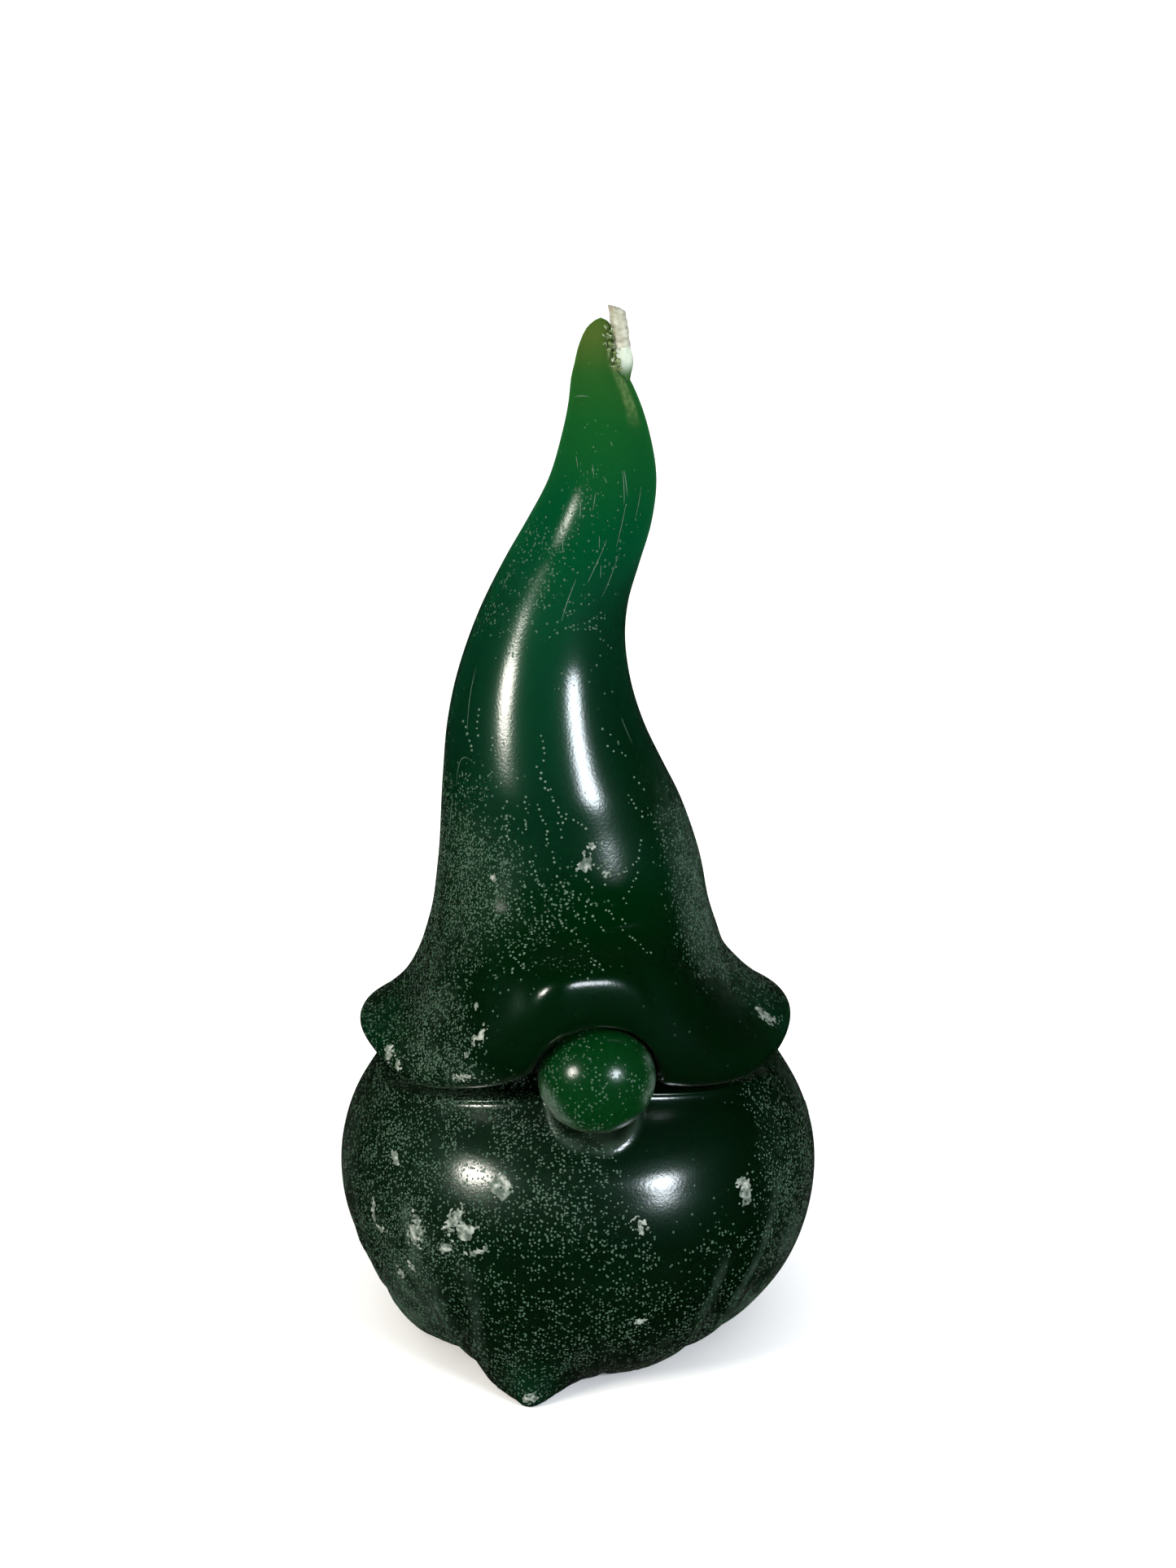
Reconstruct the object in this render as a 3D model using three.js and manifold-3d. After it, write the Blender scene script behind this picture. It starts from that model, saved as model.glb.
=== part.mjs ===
// A moulded wax candle in the shape of a tomte, a Nordic gnome: one dark green casting
// (round beard, brimmed hat, tall bent hat tip), a round nose in a socket of its own and a
// braided cotton wick that runs from the base to a stub at the broken hat tip.
// Millimetres. +Z is up, the nose faces -Y, and z = 0 is the face that the candle stands on.
// Angles round the vertical axis are in degrees: 0 is the front, positive is towards +X.
import * as THREE from 'three';
import { mergeVertices } from 'three/addons/utils/BufferGeometryUtils.js';
import Module from 'manifold-3d';

// --- driving dimensions -------------------------------------------------------------------
const BELLY_RADIUS = 30.5;
const BELLY_HEIGHT = 21.5; // height of the widest ring
const BELLY_RISE = 24; // upper half height of the belly's ellipse
const FRONT_SAG = { drop: 2.6, rise: 2.2, width: 50 }; // the belly hangs lower in front
const WAX_TOP = 128.9;
const BRIM_TOP = 68; // the brim has faded into the hat wall below this height
const NOSE_CENTRE = new THREE.Vector3(0.3, -23.2, 43.6);
const NOSE_RADII = new THREE.Vector3(7.0, 6.6, 6.6);
const SOCKET_GAP = new THREE.Vector3(0.9, 1.15, 1.45); // socket radii less nose radii
const SOCKET_SHIFT = new THREE.Vector3(0, -0.85, -0.6); // leaves 0.3 mm behind the nose
const BALL_SIDES = 24;
const BALL_RINGS = 14;
const WICK_RADIUS = 1.05;
const WICK_CLEARANCE = 0.3;
const WICK_SIDES = 10;
const WICK_STEPS = 32;
const BORE_OVERRUN = 4;

// Hat wall: [height, centre x, centre y, radius].
const HAT_RINGS = [
  [43.0, 0, 0, 18.6],
  [50.0, -0.4, 0.1, 17.9],
  [57.0, -0.8, 0.3, 17.0],
  [63.0, -1.0, 0.8, 16.2],
  [69.5, -1.9, 1.2, 14.8],
  [74.0, -2.8, 1.1, 13.6],
  [79.0, -3.7, 1.7, 12.2],
  [84.5, -4.0, 2.5, 10.75],
  [89.5, -3.5, 3.2, 9.6],
  [94.5, -2.3, 3.4, 8.8],
  [99.5, -0.4, 3.2, 8.2],
  [104.5, 1.7, 2.9, 7.5],
  [109.5, 3.2, 2.5, 6.5],
  [114.5, 3.6, 2.3, 5.35],
  [119.0, 3.4, 2.2, 4.2],
  [121.8, 2.9, 2.2, 3.4],
  [123.6, 2.45, 2.1, 2.55],
  [126.0, 2.45, 2.0, 1.95],
  [127.6, 2.75, 2.0, 1.5],
  [128.4, 2.95, 2.0, 0.9],
];

// Foot of the beard: [angle, radius]. The beard's point is just left of the front.
const FOOT_RADIUS = [
  [-180, 21.4], [-95, 19.8], [-76, 20.5], [-57, 20.8], [-44, 20.6], [-33, 23.5],
  [-24, 25.8], [-17, 27.2], [-11, 23.8], [-5, 21.2], [2, 20.2], [19, 20.0],
  [41, 18.5], [57, 18.5], [80, 21.3], [110, 21.2],
];
const FOOT_HEIGHT = 0.6;
const FOOT_BEVEL = 0.5;
// A loose lock that flares out at the foot.
const LOCK = { angle: -73, width: 9, out: 1.8, height: 4.5 };

// Lowest edge of the hat brim: [angle, height]. It arches over the nose.
const BRIM_HEIGHT = [
  [-180, 39.5], [-125, 41.0], [-92, 42.4], [-76, 42.2], [-66, 41.5], [-56, 41.0],
  [-47, 41.5], [-38, 42.8], [-29, 44.6], [-22, 46.4], [-17, 48.1], [-13, 50.7],
  [-9, 52.4], [-4, 53.1], [2, 52.8], [7, 52.0], [11, 50.8], [14, 49.3], [17, 46.8],
  [20, 45.0], [25, 43.8], [33, 42.6], [43, 41.5], [54, 41.3], [66, 41.7], [80, 42.2],
  [92, 42.2], [125, 41.2],
];
// Brim radius by angle. It peaks a little left of the nose.
const BRIM_RADIUS = [
  [-180, 22.6], [-125, 23.4], [-108, 25.2], [-95, 26.8], [-82, 27.6], [-65, 27.3],
  [-50, 26.8], [-38, 26.6], [-31, 26.9], [-24, 27.1], [-16, 27.3], [-11, 27.3],
  [-7, 27.1], [-2, 26.4], [4, 25.7], [12, 25.3], [20, 25.5], [30, 26.0], [45, 26.6],
  [65, 27.0], [82, 26.8], [95, 26.1], [108, 24.9], [125, 23.4],
];
// How much of the arch over the nose there is: [angle either side of the front, weight].
const ARCH_WEIGHT = [
  [0, 1], [12, 1], [20, 0.88], [28, 0.6], [37, 0.27], [46, 0.08], [58, 0], [180, 0],
];
// Top of the brim, from the lip up to the hat wall. The part is how much of the brim's width
// is left: [part on a lobe, part on the arch, height on a lobe, height on the arch, how far
// the height follows the soft arch instead of the lip].
const BRIM_FLARE = [
  [0.975, 0.985, 1.0, 2.5, 0.15],
  [0.75, 0.91, 2.3, 4.5, 0.4],
  [0.44, 0.68, 4.5, 5.55, 0.8],
  [0.21, 0.3, 7.5, 6.1, 1],
  [0.09, 0.07, 10.4, 6.9, 1],
  [0.02, 0.015, 13.8, 8.9, 1],
  [0, 0, 19.0, 12.5, 1],
];
// Soft arch that the top of the brim blends into.
const SOFT_ARCH = { base: 42.2, rise: 10.3, angle: -8, width: 52 };
const RIGHT_TUCK = 0.35; // the hat wall meets the right lobe more sharply

// Channels between the locks of the beard: path of [height, angle], depth, width in degrees
// and the height where the channel has run out.
const CHANNELS = [
  { path: [[0, -45], [15, -48], [24, -51]], depth: 1.4, width: 3.2, top: 22 },
  { path: [[0, -53], [4, -59], [8, -70], [13, -79]], depth: 1.6, width: 3.8, top: 20 },
  { path: [[0, -37], [7, -37], [16, -34], [22, -36]], depth: 1.0, width: 2.6, top: 20 },
  { path: [[0, 32], [12, 32], [20, 36]], depth: 0.9, width: 3.2, top: 21 },
  { path: [[0, 44], [9, 44], [17, 48], [21, 54]], depth: 1.0, width: 3.2, top: 22 },
  { path: [[0, 4], [12, 3]], depth: 0.45, width: 1.6, top: 9 },
  { path: [[0, 82], [20, 86]], depth: 1.2, width: 4.5, top: 20 },
  { path: [[0, 112], [20, 118]], depth: 1.2, width: 5, top: 20 },
  { path: [[0, 146], [20, 150]], depth: 1.2, width: 5, top: 20 },
  { path: [[0, 178], [20, 180]], depth: 1.2, width: 5, top: 20 },
  { path: [[0, -150], [20, -152]], depth: 1.2, width: 5, top: 20 },
  { path: [[0, -118], [20, -124]], depth: 1.2, width: 5, top: 20 },
];

// Wick route, from the base to the cut end.
const WICK_ROUTE = [
  [0, 0, 0.3],
  [0.8, 0.2, 20],
  [1.8, 0.6, 50],
  [3.2, 1.4, 90],
  [4.9, 1.6, 115],
  [5.3, 1.6, 121],
  [5.5, 1.6, 124],
  [5.2, 1.6, 127],
  [4.8, 1.6, 130.3],
];

// Mesh columns: [angle, step from there to the next entry's angle]. Finer at the front.
const COLUMN_STEPS = [[-180, 12], [-96, 6], [-48, 4], [48, 6], [96, 12], [180, 0]];
const ROW_LENGTH = 4.6; // longest mesh row along the profile

// --- curves -------------------------------------------------------------------------------
const radians = THREE.MathUtils.degToRad;
const lerp = THREE.MathUtils.lerp;
const smoothstep = THREE.MathUtils.smoothstep;

function wrapAngle(angle) {
  return THREE.MathUtils.euclideanModulo(angle + 180, 360) - 180;
}

function bell(angle, centre, width, power = 2) {
  return Math.exp(-Math.pow(Math.abs(wrapAngle(angle - centre)) / width, power));
}

// Slope of the smooth curve at knot i.
function knotSlope(knots, values, i) {
  const last = knots.length - 1;
  const slope = (k) => (values[k + 1] - values[k]) / (knots[k + 1] - knots[k]);
  if (i === 0) return slope(0);
  if (i === last) return slope(last - 1);
  const before = knots[i] - knots[i - 1];
  const after = knots[i + 1] - knots[i];
  return (slope(i - 1) * after + slope(i) * before) / (before + after);
}

// Smooth curve through values at unevenly spaced knots (cubic Hermite).
function curveAt(knots, values, x) {
  let k = 0;
  while (k < knots.length - 2 && x >= knots[k + 1]) k += 1;
  const span = knots[k + 1] - knots[k];
  const t = (x - knots[k]) / span;
  const u = 1 - t;
  const startPull = knotSlope(knots, values, k) * span;
  const endPull = knotSlope(knots, values, k + 1) * span;
  return (
    values[k] * (1 + 2 * t) * u * u + startPull * t * u * u +
    values[k + 1] * t * t * (3 - 2 * t) - endPull * t * t * u
  );
}

function tableAt(table, x, column = 1) {
  return curveAt(table.map((row) => row[0]), table.map((row) => row[column]), x);
}

// A table that closes round the full circle.
function ringAt(table, angle) {
  const before = table.slice(-3).map(([a, v]) => [a - 360, v]);
  const after = table.slice(0, 3).map(([a, v]) => [a + 360, v]);
  return tableAt([...before, ...table, ...after], wrapAngle(angle));
}

function pathAngle(path, height) {
  let k = 0;
  while (k < path.length - 2 && height >= path[k + 1][0]) k += 1;
  const t = (height - path[k][0]) / (path[k + 1][0] - path[k][0]);
  return lerp(path[k][1], path[k + 1][1], THREE.MathUtils.clamp(t, 0, 1));
}

// --- wax body -----------------------------------------------------------------------------
function channelDepth(angle, z) {
  let depth = 0;
  for (const { path, depth: full, width, top } of CHANNELS) {
    const fade = 1 - smoothstep(z, top * 0.35, top);
    depth += full * bell(angle, pathAngle(path, z), width) * fade;
  }
  return depth;
}

// Radius of the beard and belly at a height.
function beardRadius(angle, z) {
  const front = bell(angle, 0, FRONT_SAG.width);
  const widest = BELLY_HEIGHT - FRONT_SAG.drop * front;
  const rise = BELLY_RISE + FRONT_SAG.rise * front;
  const foot = ringAt(FOOT_RADIUS, angle) / BELLY_RADIUS;
  const drop = (widest - FOOT_HEIGHT) / Math.sqrt(1 - foot * foot);
  const away = (z - widest) / (z < widest ? drop : rise);
  const lock = LOCK.out * bell(angle, LOCK.angle, LOCK.width) * Math.exp(-((z / LOCK.height) ** 2));
  return BELLY_RADIUS * Math.sqrt(1 - away * away) - channelDepth(angle, z) + lock;
}

// Height of the beard's rounded top edge, a little lower at the sides.
function ledgeHeight(angle) {
  return 39.7 - 2.3 * Math.pow(Math.min(Math.abs(angle), 75) / 50, 1.6);
}

// Height of the soft arch at an angle. It fades into the lip at the sides.
function softArch(angle, lip) {
  const { base, rise, angle: centre, width } = SOFT_ARCH;
  const soft = base + rise * bell(angle, centre, width, 4);
  const side = smoothstep(Math.abs(angle), 75, 100);
  return lerp(soft, lip, side);
}

// Profile of the casting at an angle, from the foot to the hat tip: [radius, height].
function profileAt(angle) {
  const lipRadius = ringAt(BRIM_RADIUS, angle);
  const lip = ringAt(BRIM_HEIGHT, angle);
  const arch = tableAt(ARCH_WEIGHT, Math.abs(angle));
  const behindNose = bell(angle, 0, 18, 4);
  const ledge = ledgeHeight(angle);
  const edge = beardRadius(angle, ledge - 0.8);
  const profile = [[beardRadius(angle, 0) - FOOT_BEVEL, 0]];
  for (const z of [0.5, 3, 6, 10, 14, 18, BELLY_HEIGHT, 25, 29, 33]) {
    profile.push([beardRadius(angle, z), z]);
  }
  // The beard's top edge, the recess under the brim, and the brim's rounded lip.
  profile.push([edge, ledge - 0.8]);
  profile.push([edge - 0.25, ledge - 0.15]);
  profile.push([edge - 1.1 + 0.3 * behindNose, ledge + 0.1]);
  profile.push([edge - 2.4 + 1.0 * behindNose, ledge + 0.4]);
  profile.push([edge - 3.0 + 1.9 * behindNose, lerp(ledge, lip - 1.3, 0.4)]);
  profile.push([lipRadius - 4.4 + 1.9 * behindNose, lip - 1.2 - 2.6 * arch]);
  profile.push([lipRadius - 2.0 + 0.65 * arch, lip - 1.5 - 1.3 * arch]);
  profile.push([lipRadius - 0.5 + 0.2 * arch, lip - 0.9 - 0.7 * arch]);
  profile.push([lipRadius, lip]);
  const soft = softArch(angle, lip);
  for (const [lobePart, archPart, lobeRise, archRise, softness] of BRIM_FLARE) {
    const z = lerp(lip, soft, softness) + lerp(lobeRise, archRise, arch);
    const wall = tableAt(HAT_RINGS, z, 3);
    const tuck = lobePart < 0.4 ? 1 - RIGHT_TUCK * bell(angle, 85, 50) : 1;
    profile.push([lerp(wall, lipRadius, tuck * lerp(lobePart, archPart, arch)), z]);
  }
  for (const [z, , , radius] of HAT_RINGS.filter((ring) => ring[0] > BRIM_TOP)) {
    profile.push([radius, z]);
  }
  profile.push([0.02, WAX_TOP]);
  return profile;
}

// Spacing of the profile's points, shared by every column so that the rows line up.
function profileKnots(profiles) {
  const knots = [0];
  const spans = [];
  for (let i = 1; i < profiles[0].length; i += 1) {
    let radius = 0;
    let height = 0;
    for (const profile of profiles) {
      radius += (profile[i][0] - profile[i - 1][0]) / profiles.length;
      height += (profile[i][1] - profile[i - 1][1]) / profiles.length;
    }
    spans.push(Math.hypot(radius, height));
    knots.push(knots[i - 1] + Math.sqrt(spans[i - 1]));
  }
  return { knots, spans };
}

function columnAngles() {
  const angles = [];
  for (let i = 0; i < COLUMN_STEPS.length - 1; i += 1) {
    const [start, step] = COLUMN_STEPS[i];
    for (let angle = start; angle < COLUMN_STEPS[i + 1][0]; angle += step) angles.push(angle);
  }
  return angles;
}

function rowPositions({ knots, spans }) {
  const rows = [knots[0]];
  for (let i = 0; i < spans.length; i += 1) {
    const parts = Math.max(1, Math.ceil(spans[i] / ROW_LENGTH));
    for (let k = 1; k <= parts; k += 1) rows.push(lerp(knots[i], knots[i + 1], k / parts));
  }
  return rows;
}

function waxPoint(angle, radius, z) {
  const line = THREE.MathUtils.clamp(z, HAT_RINGS[0][0], HAT_RINGS.at(-1)[0]);
  const x = tableAt(HAT_RINGS, line, 1) + radius * Math.sin(radians(angle));
  const y = tableAt(HAT_RINGS, line, 2) - radius * Math.cos(radians(angle));
  return [x, y, z];
}

function waxGeometry() {
  const angles = columnAngles();
  const profiles = angles.map(profileAt);
  const shared = profileKnots(profiles);
  const rows = rowPositions(shared);
  const positions = [];
  for (const row of rows) {
    for (let c = 0; c < angles.length; c += 1) {
      const radius = curveAt(shared.knots, profiles[c].map((p) => p[0]), row);
      const z = curveAt(shared.knots, profiles[c].map((p) => p[1]), row);
      positions.push(...waxPoint(angles[c], radius, z));
    }
  }
  const columns = angles.length;
  const index = [];
  for (let r = 0; r < rows.length - 1; r += 1) {
    for (let c = 0; c < columns; c += 1) {
      const a = r * columns + c;
      const b = r * columns + ((c + 1) % columns);
      index.push(a, b, b + columns, a, b + columns, a + columns);
    }
  }
  const foot = positions.length / 3;
  positions.push(0, 0, 0);
  positions.push(HAT_RINGS.at(-1)[1], HAT_RINGS.at(-1)[2], WAX_TOP + 0.02);
  const lastRow = (rows.length - 1) * columns;
  for (let c = 0; c < columns; c += 1) {
    const next = (c + 1) % columns;
    index.push(foot, next, c);
    index.push(foot + 1, lastRow + c, lastRow + next);
  }
  const geometry = new THREE.BufferGeometry();
  geometry.setAttribute('position', new THREE.Float32BufferAttribute(positions, 3));
  geometry.setIndex(index);
  return geometry;
}

// --- nose and wick ------------------------------------------------------------------------
// The nose's ball, or the socket that it sits in. The poles face front and back.
function ballGeometry(centre, radii) {
  const geometry = new THREE.SphereGeometry(1, BALL_SIDES, BALL_RINGS);
  geometry.rotateX(Math.PI / 2);
  geometry.scale(radii.x, radii.y, radii.z);
  geometry.translate(centre.x, centre.y, centre.z);
  return geometry;
}

function wickGeometry(radius, overrun) {
  const points = WICK_ROUTE.map((p) => new THREE.Vector3(...p));
  if (overrun > 0) {
    points.unshift(points[0].clone().setZ(-overrun));
    const [before, end] = points.slice(-2);
    points.push(end.clone().add(end.clone().sub(before).setLength(overrun)));
  }
  const outline = new THREE.Shape();
  outline.absarc(0, 0, radius, 0, 2 * Math.PI, false);
  return new THREE.ExtrudeGeometry(outline, {
    steps: WICK_STEPS,
    extrudePath: new THREE.CatmullRomCurve3(points, false, 'centripetal'),
    curveSegments: WICK_SIDES / 2, // per half turn
  });
}

// --- boolean cut --------------------------------------------------------------------------
function toSolid(wasm, geometry) {
  const bare = geometry.clone();
  bare.deleteAttribute('normal');
  bare.deleteAttribute('uv');
  const merged = mergeVertices(bare, 1e-4);
  return new wasm.Manifold(new wasm.Mesh({
    numProp: 3,
    vertProperties: new Float32Array(merged.attributes.position.array),
    triVerts: new Uint32Array(merged.index.array),
  }));
}

function toGeometry(solid) {
  const { vertProperties, triVerts } = solid.getMesh();
  const geometry = new THREE.BufferGeometry();
  geometry.setAttribute('position', new THREE.Float32BufferAttribute(vertProperties, 3));
  geometry.setIndex(Array.from(triVerts));
  geometry.computeVertexNormals();
  return geometry;
}

// --- assembly -----------------------------------------------------------------------------
const wasm = await Module();
wasm.setup();

const waxMaterial = new THREE.MeshStandardMaterial({ color: 0x0a4a26, roughness: 0.3, metalness: 0 });
const noseMaterial = new THREE.MeshStandardMaterial({ color: 0x11693a, roughness: 0.25, metalness: 0 });
const wickMaterial = new THREE.MeshStandardMaterial({ color: 0xcfcabb, roughness: 0.9, metalness: 0 });

function namedMesh(name, geometry, material) {
  const mesh = new THREE.Mesh(geometry, material);
  mesh.name = name;
  return mesh;
}

function makeWaxBody() {
  const casting = toSolid(wasm, waxGeometry());
  const bore = toSolid(wasm, wickGeometry(WICK_RADIUS + WICK_CLEARANCE, BORE_OVERRUN));
  const socketCentre = NOSE_CENTRE.clone().add(SOCKET_SHIFT);
  const socket = toSolid(wasm, ballGeometry(socketCentre, NOSE_RADII.clone().add(SOCKET_GAP)));
  const cut = casting.subtract(bore).subtract(socket);
  return namedMesh('wax_body', toGeometry(cut), waxMaterial);
}

function makeNose() {
  return namedMesh('nose', ballGeometry(NOSE_CENTRE, NOSE_RADII), noseMaterial);
}

function makeWick() {
  return namedMesh('wick', wickGeometry(WICK_RADIUS, 0), wickMaterial);
}

const candle = new THREE.Group();
candle.add(makeWaxBody(), makeNose(), makeWick());
export default candle;
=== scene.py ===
"""Looks of the gnome candle: dark green cast wax, a round wax nose and a cotton wick.

Shapes are in millimetres in the same frame as the CAD part (+Z up, nose towards -Y) and are
scaled to metres when a mesh is made. Angles round the vertical axis are in degrees: 0 is the
front and positive is towards +X.
"""
import math

import bpy
import numpy as np
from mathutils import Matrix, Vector, noise


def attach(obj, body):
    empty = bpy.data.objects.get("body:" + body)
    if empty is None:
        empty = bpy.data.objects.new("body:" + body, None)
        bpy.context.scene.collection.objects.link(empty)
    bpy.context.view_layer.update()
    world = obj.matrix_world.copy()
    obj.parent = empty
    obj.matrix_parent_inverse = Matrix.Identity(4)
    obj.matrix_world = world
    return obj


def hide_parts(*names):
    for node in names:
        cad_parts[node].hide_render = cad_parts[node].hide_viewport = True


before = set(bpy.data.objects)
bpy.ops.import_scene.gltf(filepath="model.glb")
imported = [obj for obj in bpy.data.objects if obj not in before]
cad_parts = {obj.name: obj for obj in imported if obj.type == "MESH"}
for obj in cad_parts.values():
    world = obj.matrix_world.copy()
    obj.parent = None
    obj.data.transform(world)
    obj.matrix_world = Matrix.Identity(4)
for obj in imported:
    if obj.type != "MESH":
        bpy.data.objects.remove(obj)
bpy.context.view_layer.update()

MM = 0.001

# --- shape of the casting ---
BELLY_RADIUS, BELLY_HEIGHT, BELLY_RISE = 30.5, 21.5, 24.0
FRONT_DROP, FRONT_RISE, FRONT_WIDTH = 2.6, 2.2, 50.0  # the belly sags a little in front
FOOT_HEIGHT, FOOT_BEVEL = 0.6, 0.5
WAX_TOP, BRIM_TOP = 128.9, 68.0
BORE_RADIUS, BORE_DEPTH = 1.35, 5.0

# Hat wall: height, centre x, centre y, radius.
HAT_RINGS = [
    (43, 0, 0, 18.6), (50, -0.4, 0.1, 17.9), (57, -0.8, 0.3, 17), (63, -1, 0.8, 16.2),
    (69.5, -1.9, 1.2, 14.8), (74, -2.8, 1.1, 13.6), (79, -3.7, 1.7, 12.2),
    (84.5, -4, 2.5, 10.75), (89.5, -3.5, 3.2, 9.6), (94.5, -2.3, 3.4, 8.8), (99.5, -0.4, 3.2, 8.2),
    (104.5, 1.7, 2.9, 7.5), (109.5, 3.2, 2.5, 6.5), (114.5, 3.6, 2.3, 5.35), (119, 3.4, 2.2, 4.2),
    (121.8, 2.9, 2.2, 3.4), (123.6, 2.45, 2.1, 2.55), (126, 2.45, 2, 1.95), (127.6, 2.75, 2, 1.5),
    (128.4, 2.95, 2, 0.9),
]
# Foot of the beard: angle, radius.
FOOT_RADIUS = [
    (-180, 21.4), (-95, 19.8), (-76, 20.5), (-57, 20.8), (-44, 20.6), (-33, 23.5), (-24, 25.8),
    (-17, 27.2), (-11, 23.8), (-5, 21.2), (2, 20.2), (19, 20), (41, 18.5), (57, 18.5),
    (80, 21.3), (110, 21.2),
]
# A loose lock that flares out at the foot: angle, width, reach, height.
LOCK = (-73, 9, 1.8, 4.5)
# Lowest edge of the brim: angle, height.
BRIM_HEIGHT = [
    (-180, 39.5), (-125, 41), (-92, 42.4), (-76, 42.2), (-66, 41.5), (-56, 41), (-47, 41.5),
    (-38, 42.8), (-29, 44.6), (-22, 46.4), (-17, 48.1), (-13, 50.7), (-9, 52.4), (-4, 53.1),
    (2, 52.8), (7, 52), (11, 50.8), (14, 49.3), (17, 46.8), (20, 45), (25, 43.8),
    (33, 42.6), (43, 41.5), (54, 41.3), (66, 41.7), (80, 42.2), (92, 42.2), (125, 41.2),
]
# Brim radius by angle: it peaks a little left of the nose.
BRIM_RADIUS = [
    (-180, 22.6), (-125, 23.4), (-108, 25.2), (-95, 26.8), (-82, 27.6), (-65, 27.3), (-50, 26.8),
    (-38, 26.6), (-31, 26.9), (-24, 27.1), (-16, 27.3), (-11, 27.3), (-7, 27.1), (-2, 26.4),
    (4, 25.7), (12, 25.3), (20, 25.5), (30, 26), (45, 26.6), (65, 27), (82, 26.8), (95, 26.1),
    (108, 24.9), (125, 23.4),
]
# How much of the arch over the nose there is, by angle either side of the front.
ARCH_WEIGHT = [(0, 1), (12, 1), (20, 0.88), (28, 0.6), (37, 0.27), (46, 0.08), (58, 0), (180, 0)]
# Top of the brim: width left on a lobe, on the arch, height on a lobe, on the arch, and how
# far the height follows the soft arch instead of the lip.
BRIM_FLARE = [
    (0.975, 0.985, 1, 2.5, 0.15), (0.75, 0.91, 2.3, 4.5, 0.4), (0.44, 0.68, 4.5, 5.55, 0.8),
    (0.21, 0.3, 7.5, 6.1, 1), (0.09, 0.07, 10.4, 6.9, 1), (0.02, 0.015, 13.8, 8.9, 1),
    (0, 0, 19, 12.5, 1),
]
# Soft arch: base, rise, angle and width; it gives way to the lip between the two side angles.
SOFT_ARCH = (42.2, 10.3, -8, 52)
ARCH_END, ARCH_START = 100, 75
# The hat wall meets the right lobe more sharply: how much, angle and width.
RIGHT_TUCK = (0.35, 85, 50)
BEARD_HEIGHTS = (0.5, 3, 6, 10, 14, 18, BELLY_HEIGHT, 25, 29, 33)
# Ledge on the beard under the brim: height in front, how much it drops by an angle, the power
# of that curve, and the angle beyond which it stays level.
LEDGE_HEIGHT, LEDGE_DROP, LEDGE_ANGLE, LEDGE_POWER, LEDGE_END = 39.7, 2.3, 50, 1.6, 75
NOSE_HOLLOW = (18, 4)  # width and power of the shallower recess behind the nose
# Channels between the locks: path of (height, angle), depth, width in degrees, fading height.
CHANNELS = [
    ([(0, -45), (15, -48), (24, -51)], 1.4, 3.2, 22),
    ([(0, -53), (4, -59), (8, -70), (13, -79)], 1.6, 3.8, 20),
    ([(0, -37), (7, -37), (16, -34), (22, -36)], 1, 2.6, 20),
    ([(0, 32), (12, 32), (20, 36)], 0.9, 3.2, 21),
    ([(0, 44), (9, 44), (17, 48), (21, 54)], 1, 3.2, 22),
    ([(0, 4), (12, 3)], 0.45, 1.6, 9),
    ([(0, 82), (20, 86)], 1.2, 4.5, 20),
    ([(0, 112), (20, 118)], 1.2, 5, 20),
    ([(0, 146), (20, 150)], 1.2, 5, 20),
    ([(0, 178), (20, 180)], 1.2, 5, 20),
    ([(0, -150), (20, -152)], 1.2, 5, 20),
    ([(0, -118), (20, -124)], 1.2, 5, 20),
]
NOSE_CENTRE = np.array([0.3, -23.2, 43.6])
NOSE_RADII = np.array([7, 6.6, 6.6])
NOSE_RINGS, NOSE_SIDES = 79, 120
SOCKET_SHIFT = np.array([0, -0.85, -0.65])
SOCKET_GAP = np.array([0.65, 0.75, 1.3])
SOCKET_ROUNDING = 0.05
# Raised edge round the socket: height, place and width, and how strong the painted highlight along it is.
RIM = (0.45, 1.06, 0.06)
RIM_PAINTED_HIGHLIGHT = 0.45
# The broken side of the hat tip: its direction, the depth and size of its lumps, grain and
# chips, and by height how far from the axis the wax still reaches.
BREAK_ANGLE = 50.0
BREAK_LUMPS, BREAK_GRAIN, BREAK_CHIPS = (0.42, 0.8), (0.2, 0.35), (0.3, 0.6)
BREAK_DEPTH = [
    (123, 3), (124, 2.5), (125, 2.1), (126, 1.9), (127, 1.75), (128, 1.3), (128.9, 0.6),
]
# Loose crumbs on the break: x, y, z, size.
CRUMBS = [
    (3.3, 1, 127.8, 0.5), (3, 0.75, 127, 0.55), (3.7, 0.85, 126.9, 0.6), (3.2, 0.6, 126.1, 0.55),
    (3.9, 0.75, 126, 0.6), (3.7, 0.55, 125.4, 0.45), (4.2, 1.2, 127.4, 0.5), (4.25, 1.2, 126.6, 0.5),
    (4.3, 1.1, 125.7, 0.55), (4.4, 1, 124.9, 0.55), (4.5, 0.9, 124.3, 0.5),
    (4.2, 0.4, 124.2, 0.5), (4.8, 0.35, 124, 0.5), (4.4, 0.1, 123.4, 0.5), (5, 0.2, 123.2, 0.4),
]

WICK_RADIUS, WICK_SIDES, WICK_RINGS = 1.05, 36, 620
BRAID_STRANDS, BRAID_TURN = 3, 2.1
CUT_SLOPE, CUT_START = 0.5, 127.5  # the wick's end is higher on the left
WICK_ROUTE = [
    (0, 0, 0.3), (0.8, 0.2, 20), (1.8, 0.6, 50), (3.2, 1.4, 90), (4.9, 1.6, 115),
    (5.3, 1.6, 121), (5.5, 1.6, 124), (5.2, 1.6, 127), (4.8, 1.6, 130.3),
]
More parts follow.
